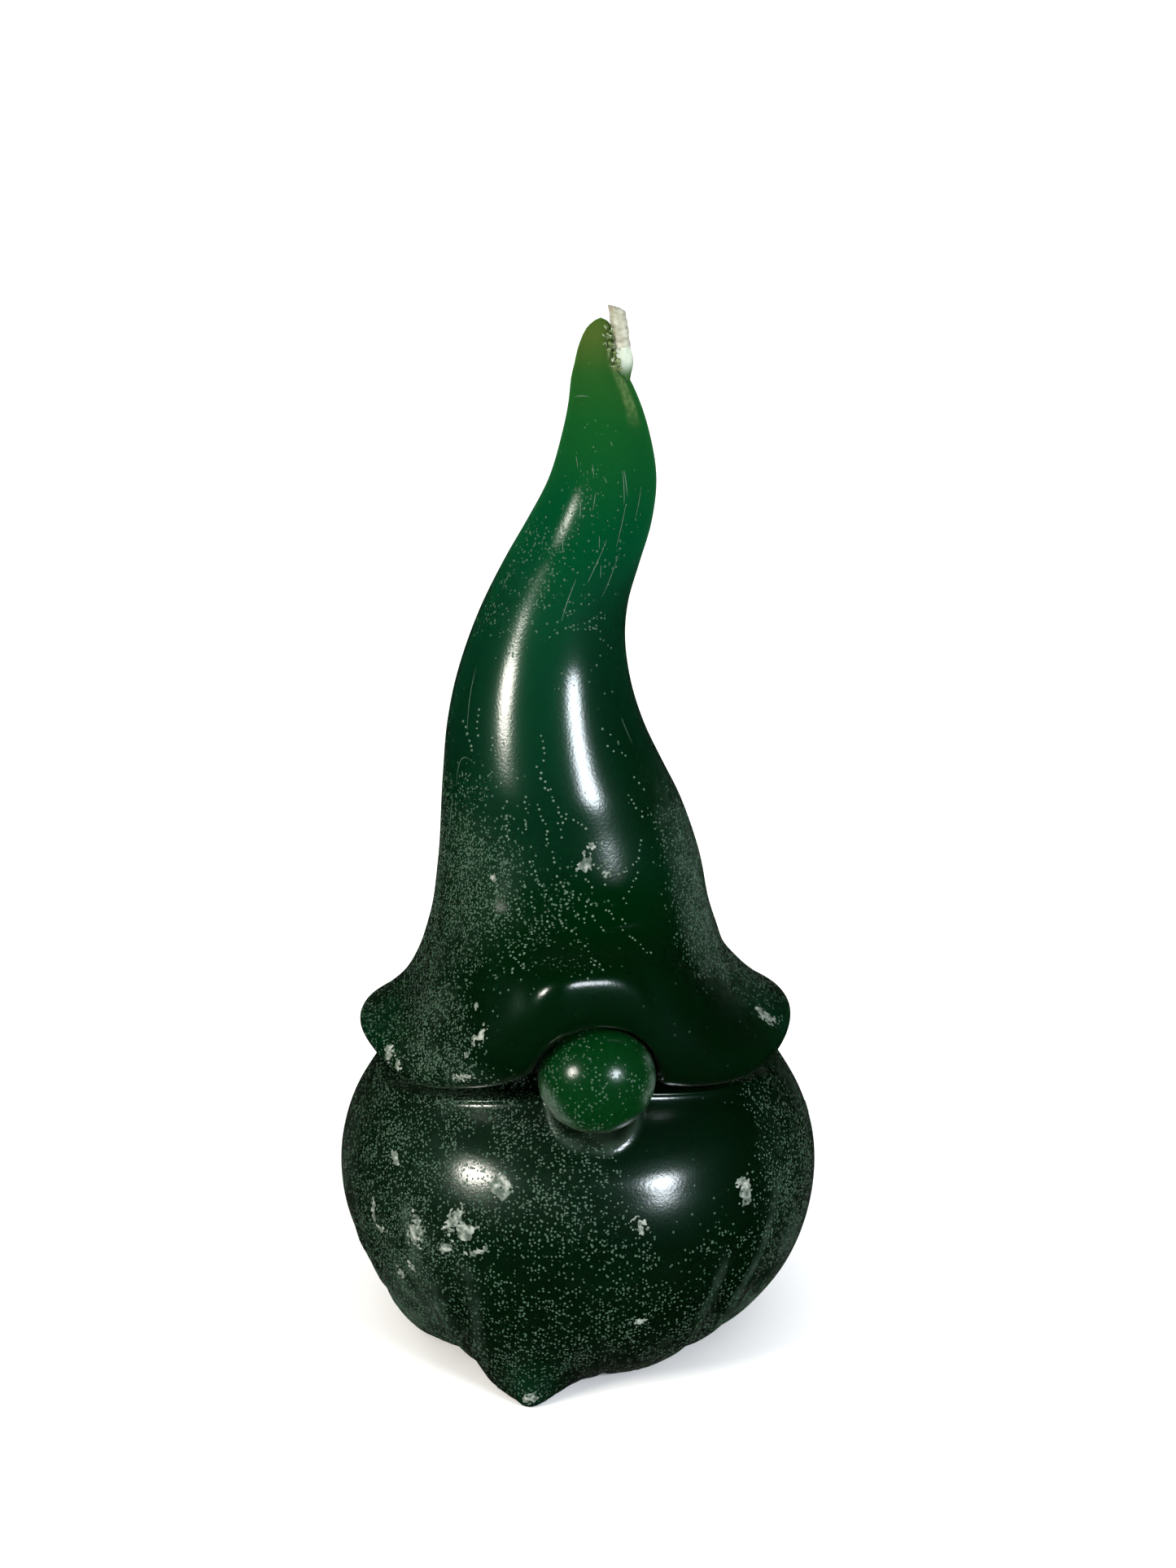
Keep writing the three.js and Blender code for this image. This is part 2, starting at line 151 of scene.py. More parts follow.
# Wax that clings to the wick above the candle: its route and how far it swells in the middle.
COAT_ROUTE = [(5.3, 1.6, 121.4), (5.42, 1.58, 122.8), (5.5, 1.6, 124.2), (5.42, 1.6, 125.7)]
COAT_SWELL, COAT_LENGTH, COAT_LIP = 0.24, 4.3, (124.6, 125.7)

# Soft lumps all over and chips along the foot: depth, size, and the height of the chips.
LUMP_DEPTH, LUMP_SIZE = 0.09, 9.0
RAGGED_DEPTH, RAGGED_SIZE, RAGGED_HEIGHT = 0.35, 1.6, 1.8
# Underside, from the bore to the foot: part of the way out and height.
BASE_RINGS = [
    (0, BORE_DEPTH), (0, 0.4), (0.02, 0.1), (0.3, 0.35), (0.6, 0.3), (0.85, 0.12), (0.95, 0),
]

# Mesh rows: up to each profile point, the longest step between rows.
ROW_STEPS = [(10, 1), (22, 0.22), (26, 0.4), (42, 1), (48, 0.25)]
# Mesh columns: start angle and step.
COLUMN_STEPS = [(-180, 1.7), (-27, 0.4), (27, 1.7), (180, 0)]

# --- surface condition, with painted light and shade ---
# How light the wax looks where it gets thin: height on the hat, value.
THIN_BY_HEIGHT = [
    (0, 0), (50, 0.04), (59, 0.1), (72, 0.22), (84, 0.34), (95, 0.45), (103, 0.57),
    (110, 0.68), (117, 0.8), (122, 0.88), (127, 1), (130, 1),
]
# Lighter patches of thin wax and darker patches of painted shade: angle, height, spread in degrees, spread
# in height, amount.
THIN_AND_SHADED_SPOTS = [
    (-76, 43, 16, 4, 0.14), (76, 44, 15, 4, 0.14), (-17, 1, 8, 6, 0.2), (-73, 1, 9, 5, 0.2),
    # The darker patches, with negative amounts, are painted shade on the sides of the hat.
    (42, 86, 32, 16, -0.13), (-52, 93, 20, 17, -0.09),
]
# Wax bloom, a crust of tiny pale dots: angle, height, spread in degrees and in height, amount.
BLOOM_ZONES = [
    (-66, 60, 30, 13, 0.7), (64, 60, 22, 11, 0.85), (-40, 68, 22, 11, 0.35), (-52, 99, 34, 8, 0.35),
    (0, 98, 40, 6, 0.22), (24, 90, 26, 7, 0.1), (-14, 62, 24, 7, 0.28), (-52, 47, 24, 5, 0.5),
    (-38, 43, 22, 3, 0.4), (78, 47, 14, 4, 0.4), (-58, 28, 26, 12, 0.65), (-12, 31, 18, 6, 0.6),
    (-5, 17, 50, 8, 0.38), (62, 24, 20, 13, 0.7), (-100, 55, 24, 30, 0.5), (110, 52, 26, 25, 0.55),
    (-25, 4, 60, 7, 0.5), (-64, 10, 20, 9, 0.4), (50, 6, 30, 6, 0.45),
    (150, 24, 34, 14, 0.6), (-150, 27, 30, 13, 0.5), (180, 62, 30, 12, 0.45), (180, 100, 40, 9, 0.3),
    (-30, 38, 30, 2.5, 0.45),
]
# Pale haze beyond that of the bloom, in the same form: dust on the wax, and painted sheen towards the
# sides.
HAZE_AND_SHEEN_ZONES = [
    (48, 7, 7, 4, 0.7), (-66, 7, 10, 6, 0.7), (-48, 10, 9, 8, 0.35), (68, 60, 18, 13, 0.35),
    (60, 12, 8, 7, 0.5), (-90, 15, 14, 14, 0.5), (90, 20, 12, 14, 0.5),
]
HAZE_WITH_BLOOM = 0.12
# Directions from the nose's centre of pale patches of painted reflection, with bloom in them, and how far
# each patch spreads.
NOSE_REFLECTION_SPREAD = 0.14
NOSE_REFLECTION_PATCHES = [
    (-0.90, -0.43, -0.03), (-0.84, -0.52, -0.15), (-0.75, -0.62, -0.24), (-0.60, -0.62, -0.50),
    (0.90, -0.42, 0.13), (0.93, -0.36, -0.02), (0.80, -0.58, -0.12), (0.86, -0.30, 0.42),
]
# Pale lines of bloom and painted highlight along the edges of the locks: path of (height, angle), amount.
RIDGES = [
    ([(2, -41), (8, -41.5), (14, -40), (18, -44), (25, -49)], 0.6),
    ([(4, -31), (14, -29), (21, -31)], 0.25),
    ([(8, 27), (13, 26.5), (20, 31)], 0.3),
    ([(6, 38), (14, 38), (22, 46), (26, 50)], 0.5),
    ([(3, -62), (9, -63), (16, -66), (22, -70)], 0.5),
]
RIDGE_WIDTH = 1.3
# Places that the bloom leaves clear.
CLEAR_ZONES = [
    (30, 35, 18, 4, 0.9), (8, 51, 22, 5, 0.9), (36, 46, 20, 4, 0.9), (20, 77, 20, 8, 0.4),
]
# A streak of paler wax on the tip, beside the wick.
PALE_STREAK = (42, 121.2, 12, 3.6, 0.5)
# Dull places in the hollow above the brim.
MATT_ZONES = [(-30, 60.5, 14, 4, 0.9), (12, 61.5, 30, 4.8, 1.02)]
# The shine fades out between these heights on the hat, but for one polished place.
SHINE_FADE = (93, 102)
TIP_SHINE = (-26, 106.5, 13, 2.6, 0.75)
# Dots of bloom in a row: angle and height where the row starts, and where it ends.
STRINGS = [
    (-10, 78.1, -5, 75.6), (-5, 75.6, -2, 72.1), (-12, 74, -10, 69.5), (-20, 67.3, -16, 64.6),
    (-16, 64.6, -10, 62.6), (-24, 64.7, -19, 62), (-8, 65.9, -6, 63.8), (-4, 64.1, 4, 62.6),
    (2, 62.3, 8, 59.5), (-10, 62.6, -8, 60.7), (-6, 62.6, 2, 60.6), (10, 61.9, 18, 60),
    (18, 59.3, 24, 56.8), (-18, 60.3, -22, 56.7), (-14, 61.1, -12, 58.9), (-7, 60.4, -2, 58.9),
    (0, 58.6, 4, 57.6), (36, 74, 40, 71.4), (34, 68.9, 31, 67.5), (30, 66.8, 19, 65.4),
    (18, 67.8, 9, 66.6), (28, 65.4, 19, 62.2), (-37, 63.8, -34, 58.4), (-29, 63.3, -24, 60.8),
    (0, 73, 9, 71.2), (-4, 72, -4, 70.2), (-18, 74.8, -20, 71.1), (-30, 74, -30, 69.5),
    (33, 81.7, 38, 80.8), (34, 79.9, 36, 79), (42, 79.9, 44, 78.1), (4, 65.5, 6, 64.3),
    (16, 66.3, 12, 64.7), (45, 75.6, 48, 74), (-26, 58.2, -18, 57.1), (-48, 83.6, -47, 80.8),
    (-61, 81.7, -50, 79), (-36, 80.8, -30, 77.3), (-5, 81.7, -5, 79), (-10, 69.2, -9, 67.3),
]
DOT_RADIUS, DOT_SPACING, DOT_HEIGHT = 0.16, 0.56, 0.1
DOT_RINGS = [(1, -0.05), (0.85, 0.05), (0.5, 0.09)]  # part of the radius and level of each ring
# Fine rubbed lines: start, end as angle and height, and how far the middle bows out.
SCRATCHES = [
    (-64, 74, -49, 77.6, 1.6), (0, 94.5, -1, 99.5, 0.1), (30, 102, 28, 97, -0.4),
    (35, 93, 31, 86, 0.3), (22, 108, 24, 103, 0.2), (-68, 72, -71, 66, 0.2), (-60, 88, -56, 81, 0.3),
    (12, 104, 10, 99, -0.2), (50, 84, 54, 79, 0.2), (-70, 103, -64, 97, -0.3), (15, 112, 20, 108, 0.3),
    (-150, 88, -140, 76, 0.8), (140, 96, 150, 84, -0.6), (-62, 119.9, -30, 120.2, 0.1),
    (-43, 113.4, -38, 112.2, 0.1), (-5, 111.2, -2, 110.6, 0), (17, 111.9, 22, 109, 0.1),
    (39, 109.8, 37, 106, 0.1), (1, 115.3, 3, 114.8, 0), (-25, 108.5, -20, 106.5, 0.2),
    (-12, 109.5, -10, 107.5, 0.1), (-20, 112.5, -17, 111.4, 0.1), (-28, 104, -22, 102.4, 0.2),
    (4, 104.5, 8, 103, 0.1), (16, 101, 20, 99.4, 0.1), (-34, 106, -30, 104.9, -0.1),
]
SCRATCH_WIDTH, SCRATCH_LIFT = 0.08, 0.015
# Tiny pale specks of painted glint on the tip: angle, height, their spreads and how many.
GLINTS = [(-22, 108, 15, 4.5, 110), (20, 106, 22, 6, 30), (-20, 118, 30, 4, 12)]
GLINT_HEIGHT = 0.05
# Thick flakes of old wax: angle, height, half width, half height, tilt in degrees.
FLAKES = [
    (-30, 49.1, 1.1, 0.9, 20), (-36, 43.4, 1.8, 0.55, -8), (-34, 46.6, 0.4, 0.4, 0),
    (-33, 52, 0.5, 0.4, 0), (-60.5, 22.6, 0.5, 1.8, 8), (-57.5, 20.7, 1.3, 0.5, 0),
    (-45.2, 23, 1, 1.7, 0), (-35.5, 25.6, 0.9, 1.3, -20), (-33.3, 27, 0.5, 0.9, 0),
    (-30.8, 25.3, 1.4, 0.7, 5), (-36.5, 22.2, 0.9, 0.5, 30), (-28, 22.8, 1.3, 0.4, 25),
    (10, 26.5, 0.7, 0.9, 20), (39.2, 27.1, 0.9, 1.7, -12), (67, 44.4, 1, 1.5, 10),
    (9.6, 13.8, 0.8, 0.6, 0), (-16.8, 2.2, 0.9, 0.8, 0), (-57, 30, 0.9, 0.5, -35),
    (4.8, 67.3, 0.7, 0.9, -30), (9.5, 69, 0.9, 0.4, 20), (13.2, 65.9, 0.4, 0.4, 0),
    (-62.4, 42.3, 0.8, 1.1, -20), (-58, 41.7, 0.7, 0.7, 0), (-38, 64.8, 0.4, 0.9, 10),
    (-52, 15.5, 0.6, 1.1, 0), (-47, 17.6, 0.6, 0.6, 0), (121, 30, 1.3, 0.9, 15),
    (164, 21, 1.6, 0.7, -20), (-142, 34, 0.9, 1.3, 0), (-165, 50, 1, 0.8, 30),
    (-104, 18, 0.8, 1.4, 10), (92, 26, 1.1, 0.8, -15),
]
# Flakes with a hole in the middle.
RING_FLAKES = [(-24, 30.6, 1.25, 1.15, 0), (-31.5, 24.6, 0.8, 0.65, 10)]
RING_HOLLOW = 0.6
FLAKE_STEPS = 30  # points along each side of a flake's sheet
FLAKE_LIFT = (-0.12, 0.08)  # lowest and highest level of a flake against the wax


# --- curves ---
def wrap_angle(angle):
    return (np.asarray(angle, float) + 180) % 360 - 180


def bell(angle, centre, width, power=2):
    return np.exp(-np.abs(wrap_angle(angle - centre) / width) ** power)


def smoothstep(start, end, x):
    t = np.clip((x - start) / (end - start), 0, 1)
    return t * t * (3 - 2 * t)


def running_sum(values):
    return np.concatenate([[0], np.cumsum(values)])


def full_turn(count):
    return np.linspace(0, 2 * np.pi, count, endpoint=False)


def unit_length(vectors):
    return vectors / np.linalg.norm(vectors, axis=-1, keepdims=True)


def curve(knots, values, x):
    """Smooth cubic curve through values at unevenly spaced knots."""
    knots, values, x = np.asarray(knots, float), np.asarray(values, float), np.asarray(x, float)
    k = np.clip(np.searchsorted(knots, x.ravel(), side="right") - 1, 0, len(knots) - 2)
    column = (-1,) + (1,) * (values.ndim - 1)
    gap = np.diff(knots).reshape(column)
    rise = np.diff(values, axis=0) / gap
    slope = np.zeros_like(values)
    slope[1:-1] = (rise[:-1] * gap[1:] + rise[1:] * gap[:-1]) / (gap[:-1] + gap[1:])
    slope[0], slope[-1] = rise[0], rise[-1]
    span = np.diff(knots)[k]
    t = ((x.ravel() - knots[k]) / span).reshape(column)
    span = span.reshape(column)
    start = values[k] * (1 + 2 * t) * (1 - t) ** 2 + slope[k] * span * t * (1 - t) ** 2
    end = values[k + 1] * t * t * (3 - 2 * t) + slope[k + 1] * span * t * t * (t - 1)
    return (start + end).reshape(x.shape + values.shape[1:])


def table(rows, x, column=1):
    return curve([row[0] for row in rows], [row[column] for row in rows], x)


def along_path(path, height):
    """Value of a (height, value) path at a height, held level beyond its ends."""
    return np.interp(height, *zip(*path))


def ring_table(rows, angle):
    """A table that closes round the full circle."""
    before = [(row[0] - 360, row[1]) for row in rows[-3:]]
    after = [(row[0] + 360, row[1]) for row in rows[:3]]
    return table(before + rows + after, wrap_angle(angle))


def zones(rows, angle, height):
    """Sum of soft patches given by angle, height, spreads and amount."""
    total = np.zeros(np.broadcast(angle, height).shape)
    for centre, level, wide, high, amount in rows:
        total += amount * bell(angle, centre, wide, 4) * np.exp(-((height - level) / high) ** 4)
    return total


def ridge_lines(angle, height):
    """Narrow pale lines of bloom and painted highlight along the edges of the locks."""
    total = np.zeros(np.broadcast(angle, height).shape)
    for path, amount in RIDGES:
        bottom, top = path[0][0], path[-1][0]
        ends = smoothstep(bottom - 1, bottom + 2, height) * smoothstep(top + 2, top - 3, height)
        total += amount * bell(angle, along_path(path, height), RIDGE_WIDTH) * ends
    return total


def wobble(points, size, seed):
    """Smooth noise from -1 to 1 at points in millimetres, with lumps of a given size."""
    shift = Vector((seed * 17.3, seed * 5.1, seed * 9.7))
    flat = np.asarray(points).reshape(-1, 3) / size
    values = [noise.noise(Vector(p) + shift) for p in flat]
    return np.array(values).reshape(np.asarray(points).shape[:-1])


# --- wax surface ---
def channel_depth(angle, height):
    depth = np.zeros_like(angle)
    for path, full, width, top in CHANNELS:
        centre = along_path(path, height)
        depth += full * bell(angle, centre, width) * (1 - smoothstep(top * 0.35, top, height))
    return depth


def beard_radius(angle, height):
    height = np.broadcast_to(np.asarray(height, float), angle.shape)
    front = bell(angle, 0, FRONT_WIDTH)
    widest = BELLY_HEIGHT - FRONT_DROP * front
    foot = ring_table(FOOT_RADIUS, angle) / BELLY_RADIUS
    drop = (widest - FOOT_HEIGHT) / np.sqrt(1 - foot ** 2)
    rise = BELLY_RISE + FRONT_RISE * front
    below = np.sqrt(np.clip(1 - ((widest - height) / drop) ** 2, 0.01, 1))
    above = np.sqrt(np.clip(1 - ((height - widest) / rise) ** 2, 0.01, 1))
    centre, width, reach, tall = LOCK
    lock = reach * bell(angle, centre, width) * np.exp(-((height / tall) ** 2))
    round_part = BELLY_RADIUS * np.where(height < widest, below, above)
    return round_part - channel_depth(angle, height) + lock


def recess_rows(beard, ledge, lip_radius, lip, arch, behind_nose):
    """The ledge on the beard, the recess above it and the underside of the brim."""
    return [
        (beard, ledge - 0.8),
        (beard - 0.25, ledge - 0.15),
        (beard - 1.1 + 0.3 * behind_nose, ledge + 0.1),
        (beard - 2.4 + 1.0 * behind_nose, ledge + 0.4),
        (beard - 3.0 + 1.9 * behind_nose, ledge * 0.6 + (lip - 1.3) * 0.4),
        (lip_radius - 4.4 + 1.9 * behind_nose, lip - 1.2 - 2.6 * arch),
        (lip_radius - 2.0 + 0.65 * arch, lip - 1.5 - 1.3 * arch),
        (lip_radius - 0.5 + 0.2 * arch, lip - 0.9 - 0.7 * arch),
        (lip_radius, lip),
    ]


def flare_rows(angle, lip_radius, lip, arch):
    """Top of the brim, which sweeps up from the lip into the hat wall."""
    side = np.abs(angle)
    base, rise, middle, width = SOFT_ARCH
    soft = base + rise * bell(angle, middle, width, 4)
    beside = lip + (soft - lip) * smoothstep(ARCH_END, ARCH_START, side)
    soft = np.where(side < ARCH_START, soft, beside)
    tuck, tuck_angle, tuck_width = RIGHT_TUCK
    rows = []
    for lobe_part, arch_part, lobe_rise, arch_rise, softness in BRIM_FLARE:
        height = lip + (soft - lip) * softness + lobe_rise + (arch_rise - lobe_rise) * arch
        wall = table(HAT_RINGS, height, 3)
        part = lobe_part + (arch_part - lobe_part) * arch
        part = part * (1 - tuck * bell(angle, tuck_angle, tuck_width) * (lobe_part < 0.4))
        rows.append((wall + (lip_radius - wall) * part, height))
    return rows


def profile(angle):
    """Radius and height of the casting's profile points at each angle, foot to hat tip."""
    side = np.abs(angle)
    lip_radius = ring_table(BRIM_RADIUS, angle)
    lip = ring_table(BRIM_HEIGHT, angle)
    arch = table(ARCH_WEIGHT, side)
    behind_nose = bell(angle, 0, *NOSE_HOLLOW)
    ledge = LEDGE_HEIGHT - LEDGE_DROP * (np.minimum(side, LEDGE_END) / LEDGE_ANGLE) ** LEDGE_POWER
    rows = [(beard_radius(angle, 0) - FOOT_BEVEL, 0)]
    rows += [(beard_radius(angle, height), height) for height in BEARD_HEIGHTS]
    rows += recess_rows(beard_radius(angle, ledge - 0.8), ledge, lip_radius, lip, arch, behind_nose)
    rows += flare_rows(angle, lip_radius, lip, arch)
    rows += [(radius, height) for height, _x, _y, radius in HAT_RINGS if height > BRIM_TOP]
    rows.append((0.02, WAX_TOP))
    flat = np.zeros_like(angle)
    return np.array([(flat + radius, flat + height) for radius, height in rows])


def column_angles():
    angles = []
    for (start, step), (end, _next) in zip(COLUMN_STEPS, COLUMN_STEPS[1:]):
        angles.extend(np.arange(start, end - 0.01, step))
    return np.array(angles)


# Profile positions: where along the mean profile each of its points lies.
MEAN = profile(np.arange(-180.0, 180.0, 3.0)).mean(axis=2)
SPANS = np.hypot(*np.diff(MEAN, axis=0).T)
KNOTS = running_sum(np.sqrt(SPANS))
BEARD_POINTS = len(BEARD_HEIGHTS) + 2
LIP_POINT = BEARD_POINTS + 7


def row_positions():
    rows = [0.0]
    for i, span in enumerate(SPANS):
        step = next(size for last, size in ROW_STEPS if i < last)
        count = max(1, math.ceil(span / step))
        rows.extend(KNOTS[i] + (KNOTS[i + 1] - KNOTS[i]) * np.arange(1, count + 1) / count)
    return np.array(rows)


def socket_depth(points):
    """1 on the wall of the nose's socket, less inside it."""
    centre = NOSE_CENTRE + SOCKET_SHIFT
    return np.linalg.norm((points - centre) / (NOSE_RADII + SOCKET_GAP), axis=-1)


def socket_rim(points):
    """1 along the crest of the raised edge round the lower half of the socket, 0 away from it."""
    _height, place, width = RIM
    below_nose = smoothstep(41, 38.5, points[..., 2])
    return np.exp(-(((socket_depth(points) - place) / width) ** 2)) * below_nose


def push_out_of_socket(points):
    centre = NOSE_CENTRE + SOCKET_SHIFT
    depth = socket_depth(points)
    pushed = 0.5 * (depth + 1 + np.sqrt((depth - 1) ** 2 + SOCKET_ROUNDING ** 2))
    scale = np.where(depth < 2, pushed / np.maximum(depth, 1e-6), 1)
    return centre + (points - centre) * scale[..., None]


def wax_surface(angle, row):
    """Grid of surface points, one row for each profile position and one column per angle."""
    shape = curve(KNOTS, profile(angle), row)
    radius, height = shape[:, 0], shape[:, 1]
    line = np.clip(height, HAT_RINGS[0][0], HAT_RINGS[-1][0])
    x = table(HAT_RINGS, line, 1) + radius * np.sin(np.radians(angle))
    y = table(HAT_RINGS, line, 2) - radius * np.cos(np.radians(angle))
    points = np.stack([x, y, height], axis=-1)
    points[..., 1] -= RIM[0] * socket_rim(points)
    return push_out_of_socket(points)


def row_at(angle, height):
    """Profile position of a height, on the beard below its ledge or else on the brim and hat."""
    heights = profile(np.array([float(angle)]))[:, 1, 0]
    first, last = (0, BEARD_POINTS) if height < 39 else (LIP_POINT, len(heights))
    return np.interp(height, heights[first:last], KNOTS[first:last])


def break_tip(points):
    """Leaves a crumbly break on the wick's side of the hat tip."""
    broken = points.copy()
    near = points[..., 2] > BREAK_DEPTH[0][0]
    tip = points[near]
    axis_x = table(HAT_RINGS, tip[:, 2], 1)
    axis_y = table(HAT_RINGS, tip[:, 2], 2)
    outward = np.array([math.sin(math.radians(BREAK_ANGLE)), -math.cos(math.radians(BREAK_ANGLE))])
    reach = (tip[:, 0] - axis_x) * outward[0] + (tip[:, 1] - axis_y) * outward[1]
    lumps = BREAK_LUMPS[0] * np.abs(wobble(tip, BREAK_LUMPS[1], 3))
    grain = BREAK_GRAIN[0] * wobble(tip, BREAK_GRAIN[1], 4)
    limit = np.interp(tip[:, 2], *zip(*BREAK_DEPTH)) + lumps + grain - 0.15
    over = np.maximum(reach - limit, 0)
    tip[:, :2] -= over[:, None] * outward
    tip[:, 2] -= np.where(over > 0, BREAK_CHIPS[0] * np.abs(wobble(tip, BREAK_CHIPS[1], 5)), 0)
    broken[near] = tip
    return broken, near


# --- mesh helpers ---
def add_mesh(name, points, faces, material, values=None, smooth=True):
    mesh = bpy.data.meshes.new(name)
    mesh.from_pydata((np.asarray(points) * MM).tolist(), [], faces)
    mesh.validate()
    for key, numbers in (values or {}).items():
        attribute = mesh.attributes.new(key, "FLOAT", "POINT")
        attribute.data.foreach_set("value", np.asarray(numbers, np.float32).ravel())
    mesh.polygons.foreach_set("use_smooth", [smooth] * len(mesh.polygons))
    mesh.materials.append(material)
    piece = bpy.data.objects.new(name, mesh)
    bpy.context.scene.collection.objects.link(piece)
    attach(piece, "root")
    return piece


def grid_faces(rows, columns, closed=True):
    r, c = np.meshgrid(np.arange(rows - 1), np.arange(columns if closed else columns - 1), indexing="ij")
    a = (r * columns + c).ravel()
    b = (r * columns + (c + 1) % columns).ravel()
    return np.stack([a, b, b + columns, a + columns], axis=1).tolist()


def cap_faces(first, columns, centre, flip=False):
    faces = []
    for c in range(columns):
        face = [first + c, first + (c + 1) % columns, centre]
        faces.append(face[::-1] if flip else face)
    return faces


def add_shape(points, faces, shape_points, shape_faces):
    """Adds one more shape to growing lists of points and faces."""
    first = len(points)
    points.extend(shape_points)
    faces.extend([[first + i for i in face] for face in shape_faces])


def unit_ball(rings, sides):
    """Points and faces of a ball of radius 1 with its poles on the z axis."""
    polar = np.linspace(0, np.pi, rings + 2)[1:-1, None]
    turn = full_turn(sides)
    rows = [np.sin(polar) * np.cos(turn), np.sin(polar) * np.sin(turn), np.cos(polar) + 0 * turn]
    points = np.concatenate([np.stack(rows, axis=-1).reshape(-1, 3), [[0, 0, 1], [0, 0, -1]]])
    count = rings * sides
    faces = grid_faces(rings, sides) + cap_faces(0, sides, count, flip=True)
    return points, faces + cap_faces(count - sides, sides, count + 1)


def sweep(route, radius_at, sides, steps):
    """Rings round a smooth route: radius_at(along, angle) gives each ring's radii."""
    route = np.asarray(route, float)
    lengths = np.linalg.norm(np.diff(route, axis=0), axis=1)
    knots = running_sum(np.sqrt(lengths))
    t = np.interp(np.linspace(0, lengths.sum(), steps), running_sum(lengths), knots)
    centre = curve(knots, route, t)
    ahead = unit_length(np.gradient(centre, axis=0))
    across = unit_length(np.cross(ahead, [0, 1, 0]))
    up = np.cross(ahead, across)
    angle = full_turn(sides)
    along = running_sum(np.linalg.norm(np.diff(centre, axis=0), axis=1))
    radius = radius_at(along[:, None], angle[None, :])
    ring = np.cos(angle)[None, :, None] * across[:, None] + np.sin(angle)[None, :, None] * up[:, None]
    return centre[:, None] + radius[..., None] * ring, along


# --- material nodes ---
class Nodes:
    """Small helper that adds nodes to a material and links them by value."""

    def __init__(self, name):
        self.material = bpy.data.materials.new(name)
        self.material.use_nodes = True
        self.tree = self.material.node_tree
        self.shader = self.tree.nodes["Principled BSDF"]
        self.place = self.add("ShaderNodeTexCoord").outputs["Object"]

    def add(self, kind, inputs=None, **settings):
        node = self.tree.nodes.new(kind)
        for key, value in settings.items():
            setattr(node, key, value)
        for key, value in (inputs or {}).items():
            self.feed(node.inputs[key], value)
        return node

    def feed(self, socket, value):
        if isinstance(value, bpy.types.NodeSocket):
            self.tree.links.new(value, socket)
        else:
            socket.default_value = value

    def math(self, operation, first, second=0.0, clamp=False):
        node = self.add("ShaderNodeMath", operation=operation, use_clamp=clamp)
        self.feed(node.inputs[0], first)
        self.feed(node.inputs[1], second)
        return node.outputs[0]

    def remap(self, value, low, high, start=0.0, end=1.0):
        inputs = {"Value": value, "From Min": low, "From Max": high, "To Min": start, "To Max": end}
        return self.add("ShaderNodeMapRange", inputs, interpolation_type="SMOOTHSTEP").outputs[0]

    def moved_place(self, shift, stretch=(1, 1, 1)):
        inputs = {"Vector": self.place, "Location": shift, "Scale": stretch}
        return self.add("ShaderNodeMapping", inputs).outputs[0]

    def noise(self, scale, detail=2.0, stretch=(1, 1, 1), seed=0.0):
        place = self.moved_place((seed * 0.013, seed * 0.007, seed * 0.003), stretch)
        inputs = {"Vector": place, "Scale": scale, "Detail": detail}
        return self.add("ShaderNodeTexNoise", inputs).outputs["Fac"]

    def cells(self, scale, seed=0.0):
        """Distance to the nearest point of a scatter of points and that point's random number."""
        place = self.moved_place((seed * 0.011, seed * 0.005, seed * 0.017))
        node = self.add("ShaderNodeTexVoronoi", {"Vector": place, "Scale": scale})
        chance = self.add("ShaderNodeSeparateColor", {"Color": node.outputs["Color"]}).outputs[0]
        return node.outputs["Distance"], chance

    def height(self):
        return self.add("ShaderNodeSeparateXYZ", {"Vector": self.place}).outputs[2]

    def attribute(self, name):
        return self.add("ShaderNodeAttribute", attribute_name=name).outputs["Fac"]

    def ramp(self, value, stops):
        node = self.add("ShaderNodeValToRGB", {"Fac": value})
        ramp = node.color_ramp
        while len(ramp.elements) < len(stops):
            ramp.elements.new(0.5)
        for element, (position, colour) in zip(ramp.elements, stops):
            element.position = position
            element.color = (*colour, 1)
        return node.outputs["Color"]

    def mix(self, amount, first, second):
        """Blends two colours; the node's sockets 0, 6 and 7 are the amount and the colours."""
        node = self.add("ShaderNodeMix", data_type="RGBA")
        for socket, value in ((node.inputs[0], amount), (node.inputs[6], first), (node.inputs[7], second)):
            self.feed(socket, (*value, 1) if isinstance(value, tuple) else value)
        return node.outputs[2]

    def bump(self, height, distance, strength=1.0, below=None):
        inputs = {"Height": height, "Distance": distance, "Strength": strength}
        node = self.add("ShaderNodeBump", inputs)
        if below is not None:
            self.feed(node.inputs["Normal"], below)
        return node.outputs[0]

    def shade(self, values):
        for key, value in values.items():
            self.feed(self.shader.inputs[key], value)

    def scatter(self, weight, radius, scale):
        self.shade({"Subsurface Weight": weight, "Subsurface Radius": radius, "Subsurface Scale": scale})

    def finish(self, colour, roughness, normal=None):
        self.shade({"Base Color": colour, "Roughness": roughness})
        if normal is not None:
            self.shade({"Normal": normal})
        return self.material


# Colour of the wax from thick to thin.
WAX_RAMP = [
    (0.0, (0.0001, 0.0032, 0.0003)), (0.12, (0.0001, 0.0070, 0.0012)),
    (0.25, (0.0002, 0.0125, 0.0045)), (0.45, (0.0003, 0.025, 0.0088)),
    (0.6, (0.0004, 0.031, 0.0092)), (0.8, (0.003, 0.042, 0.0078)),
    (0.9, (0.009, 0.046, 0.0076)), (1.0, (0.032, 0.056, 0.010)),
]
NOSE_COLOUR = (0.0002, 0.0165, 0.0018)
BLOOM_COLOUR = (0.053, 0.091, 0.062)
HAZE_AND_PAINTED_LIGHT_COLOUR = (0.038, 0.060, 0.045)
BREAK_COLOUR = (0.11, 0.16, 0.06)
COAT_WEIGHT, COAT_ROUGHNESS = 0.85, 0.18
SPECULAR_LEVEL, SPECULAR_TINT = 0.075, (0.1, 0.9, 0.55, 1)
NOSE_COAT_ROUGHNESS, NOSE_SHINE = 0.2, 0.7
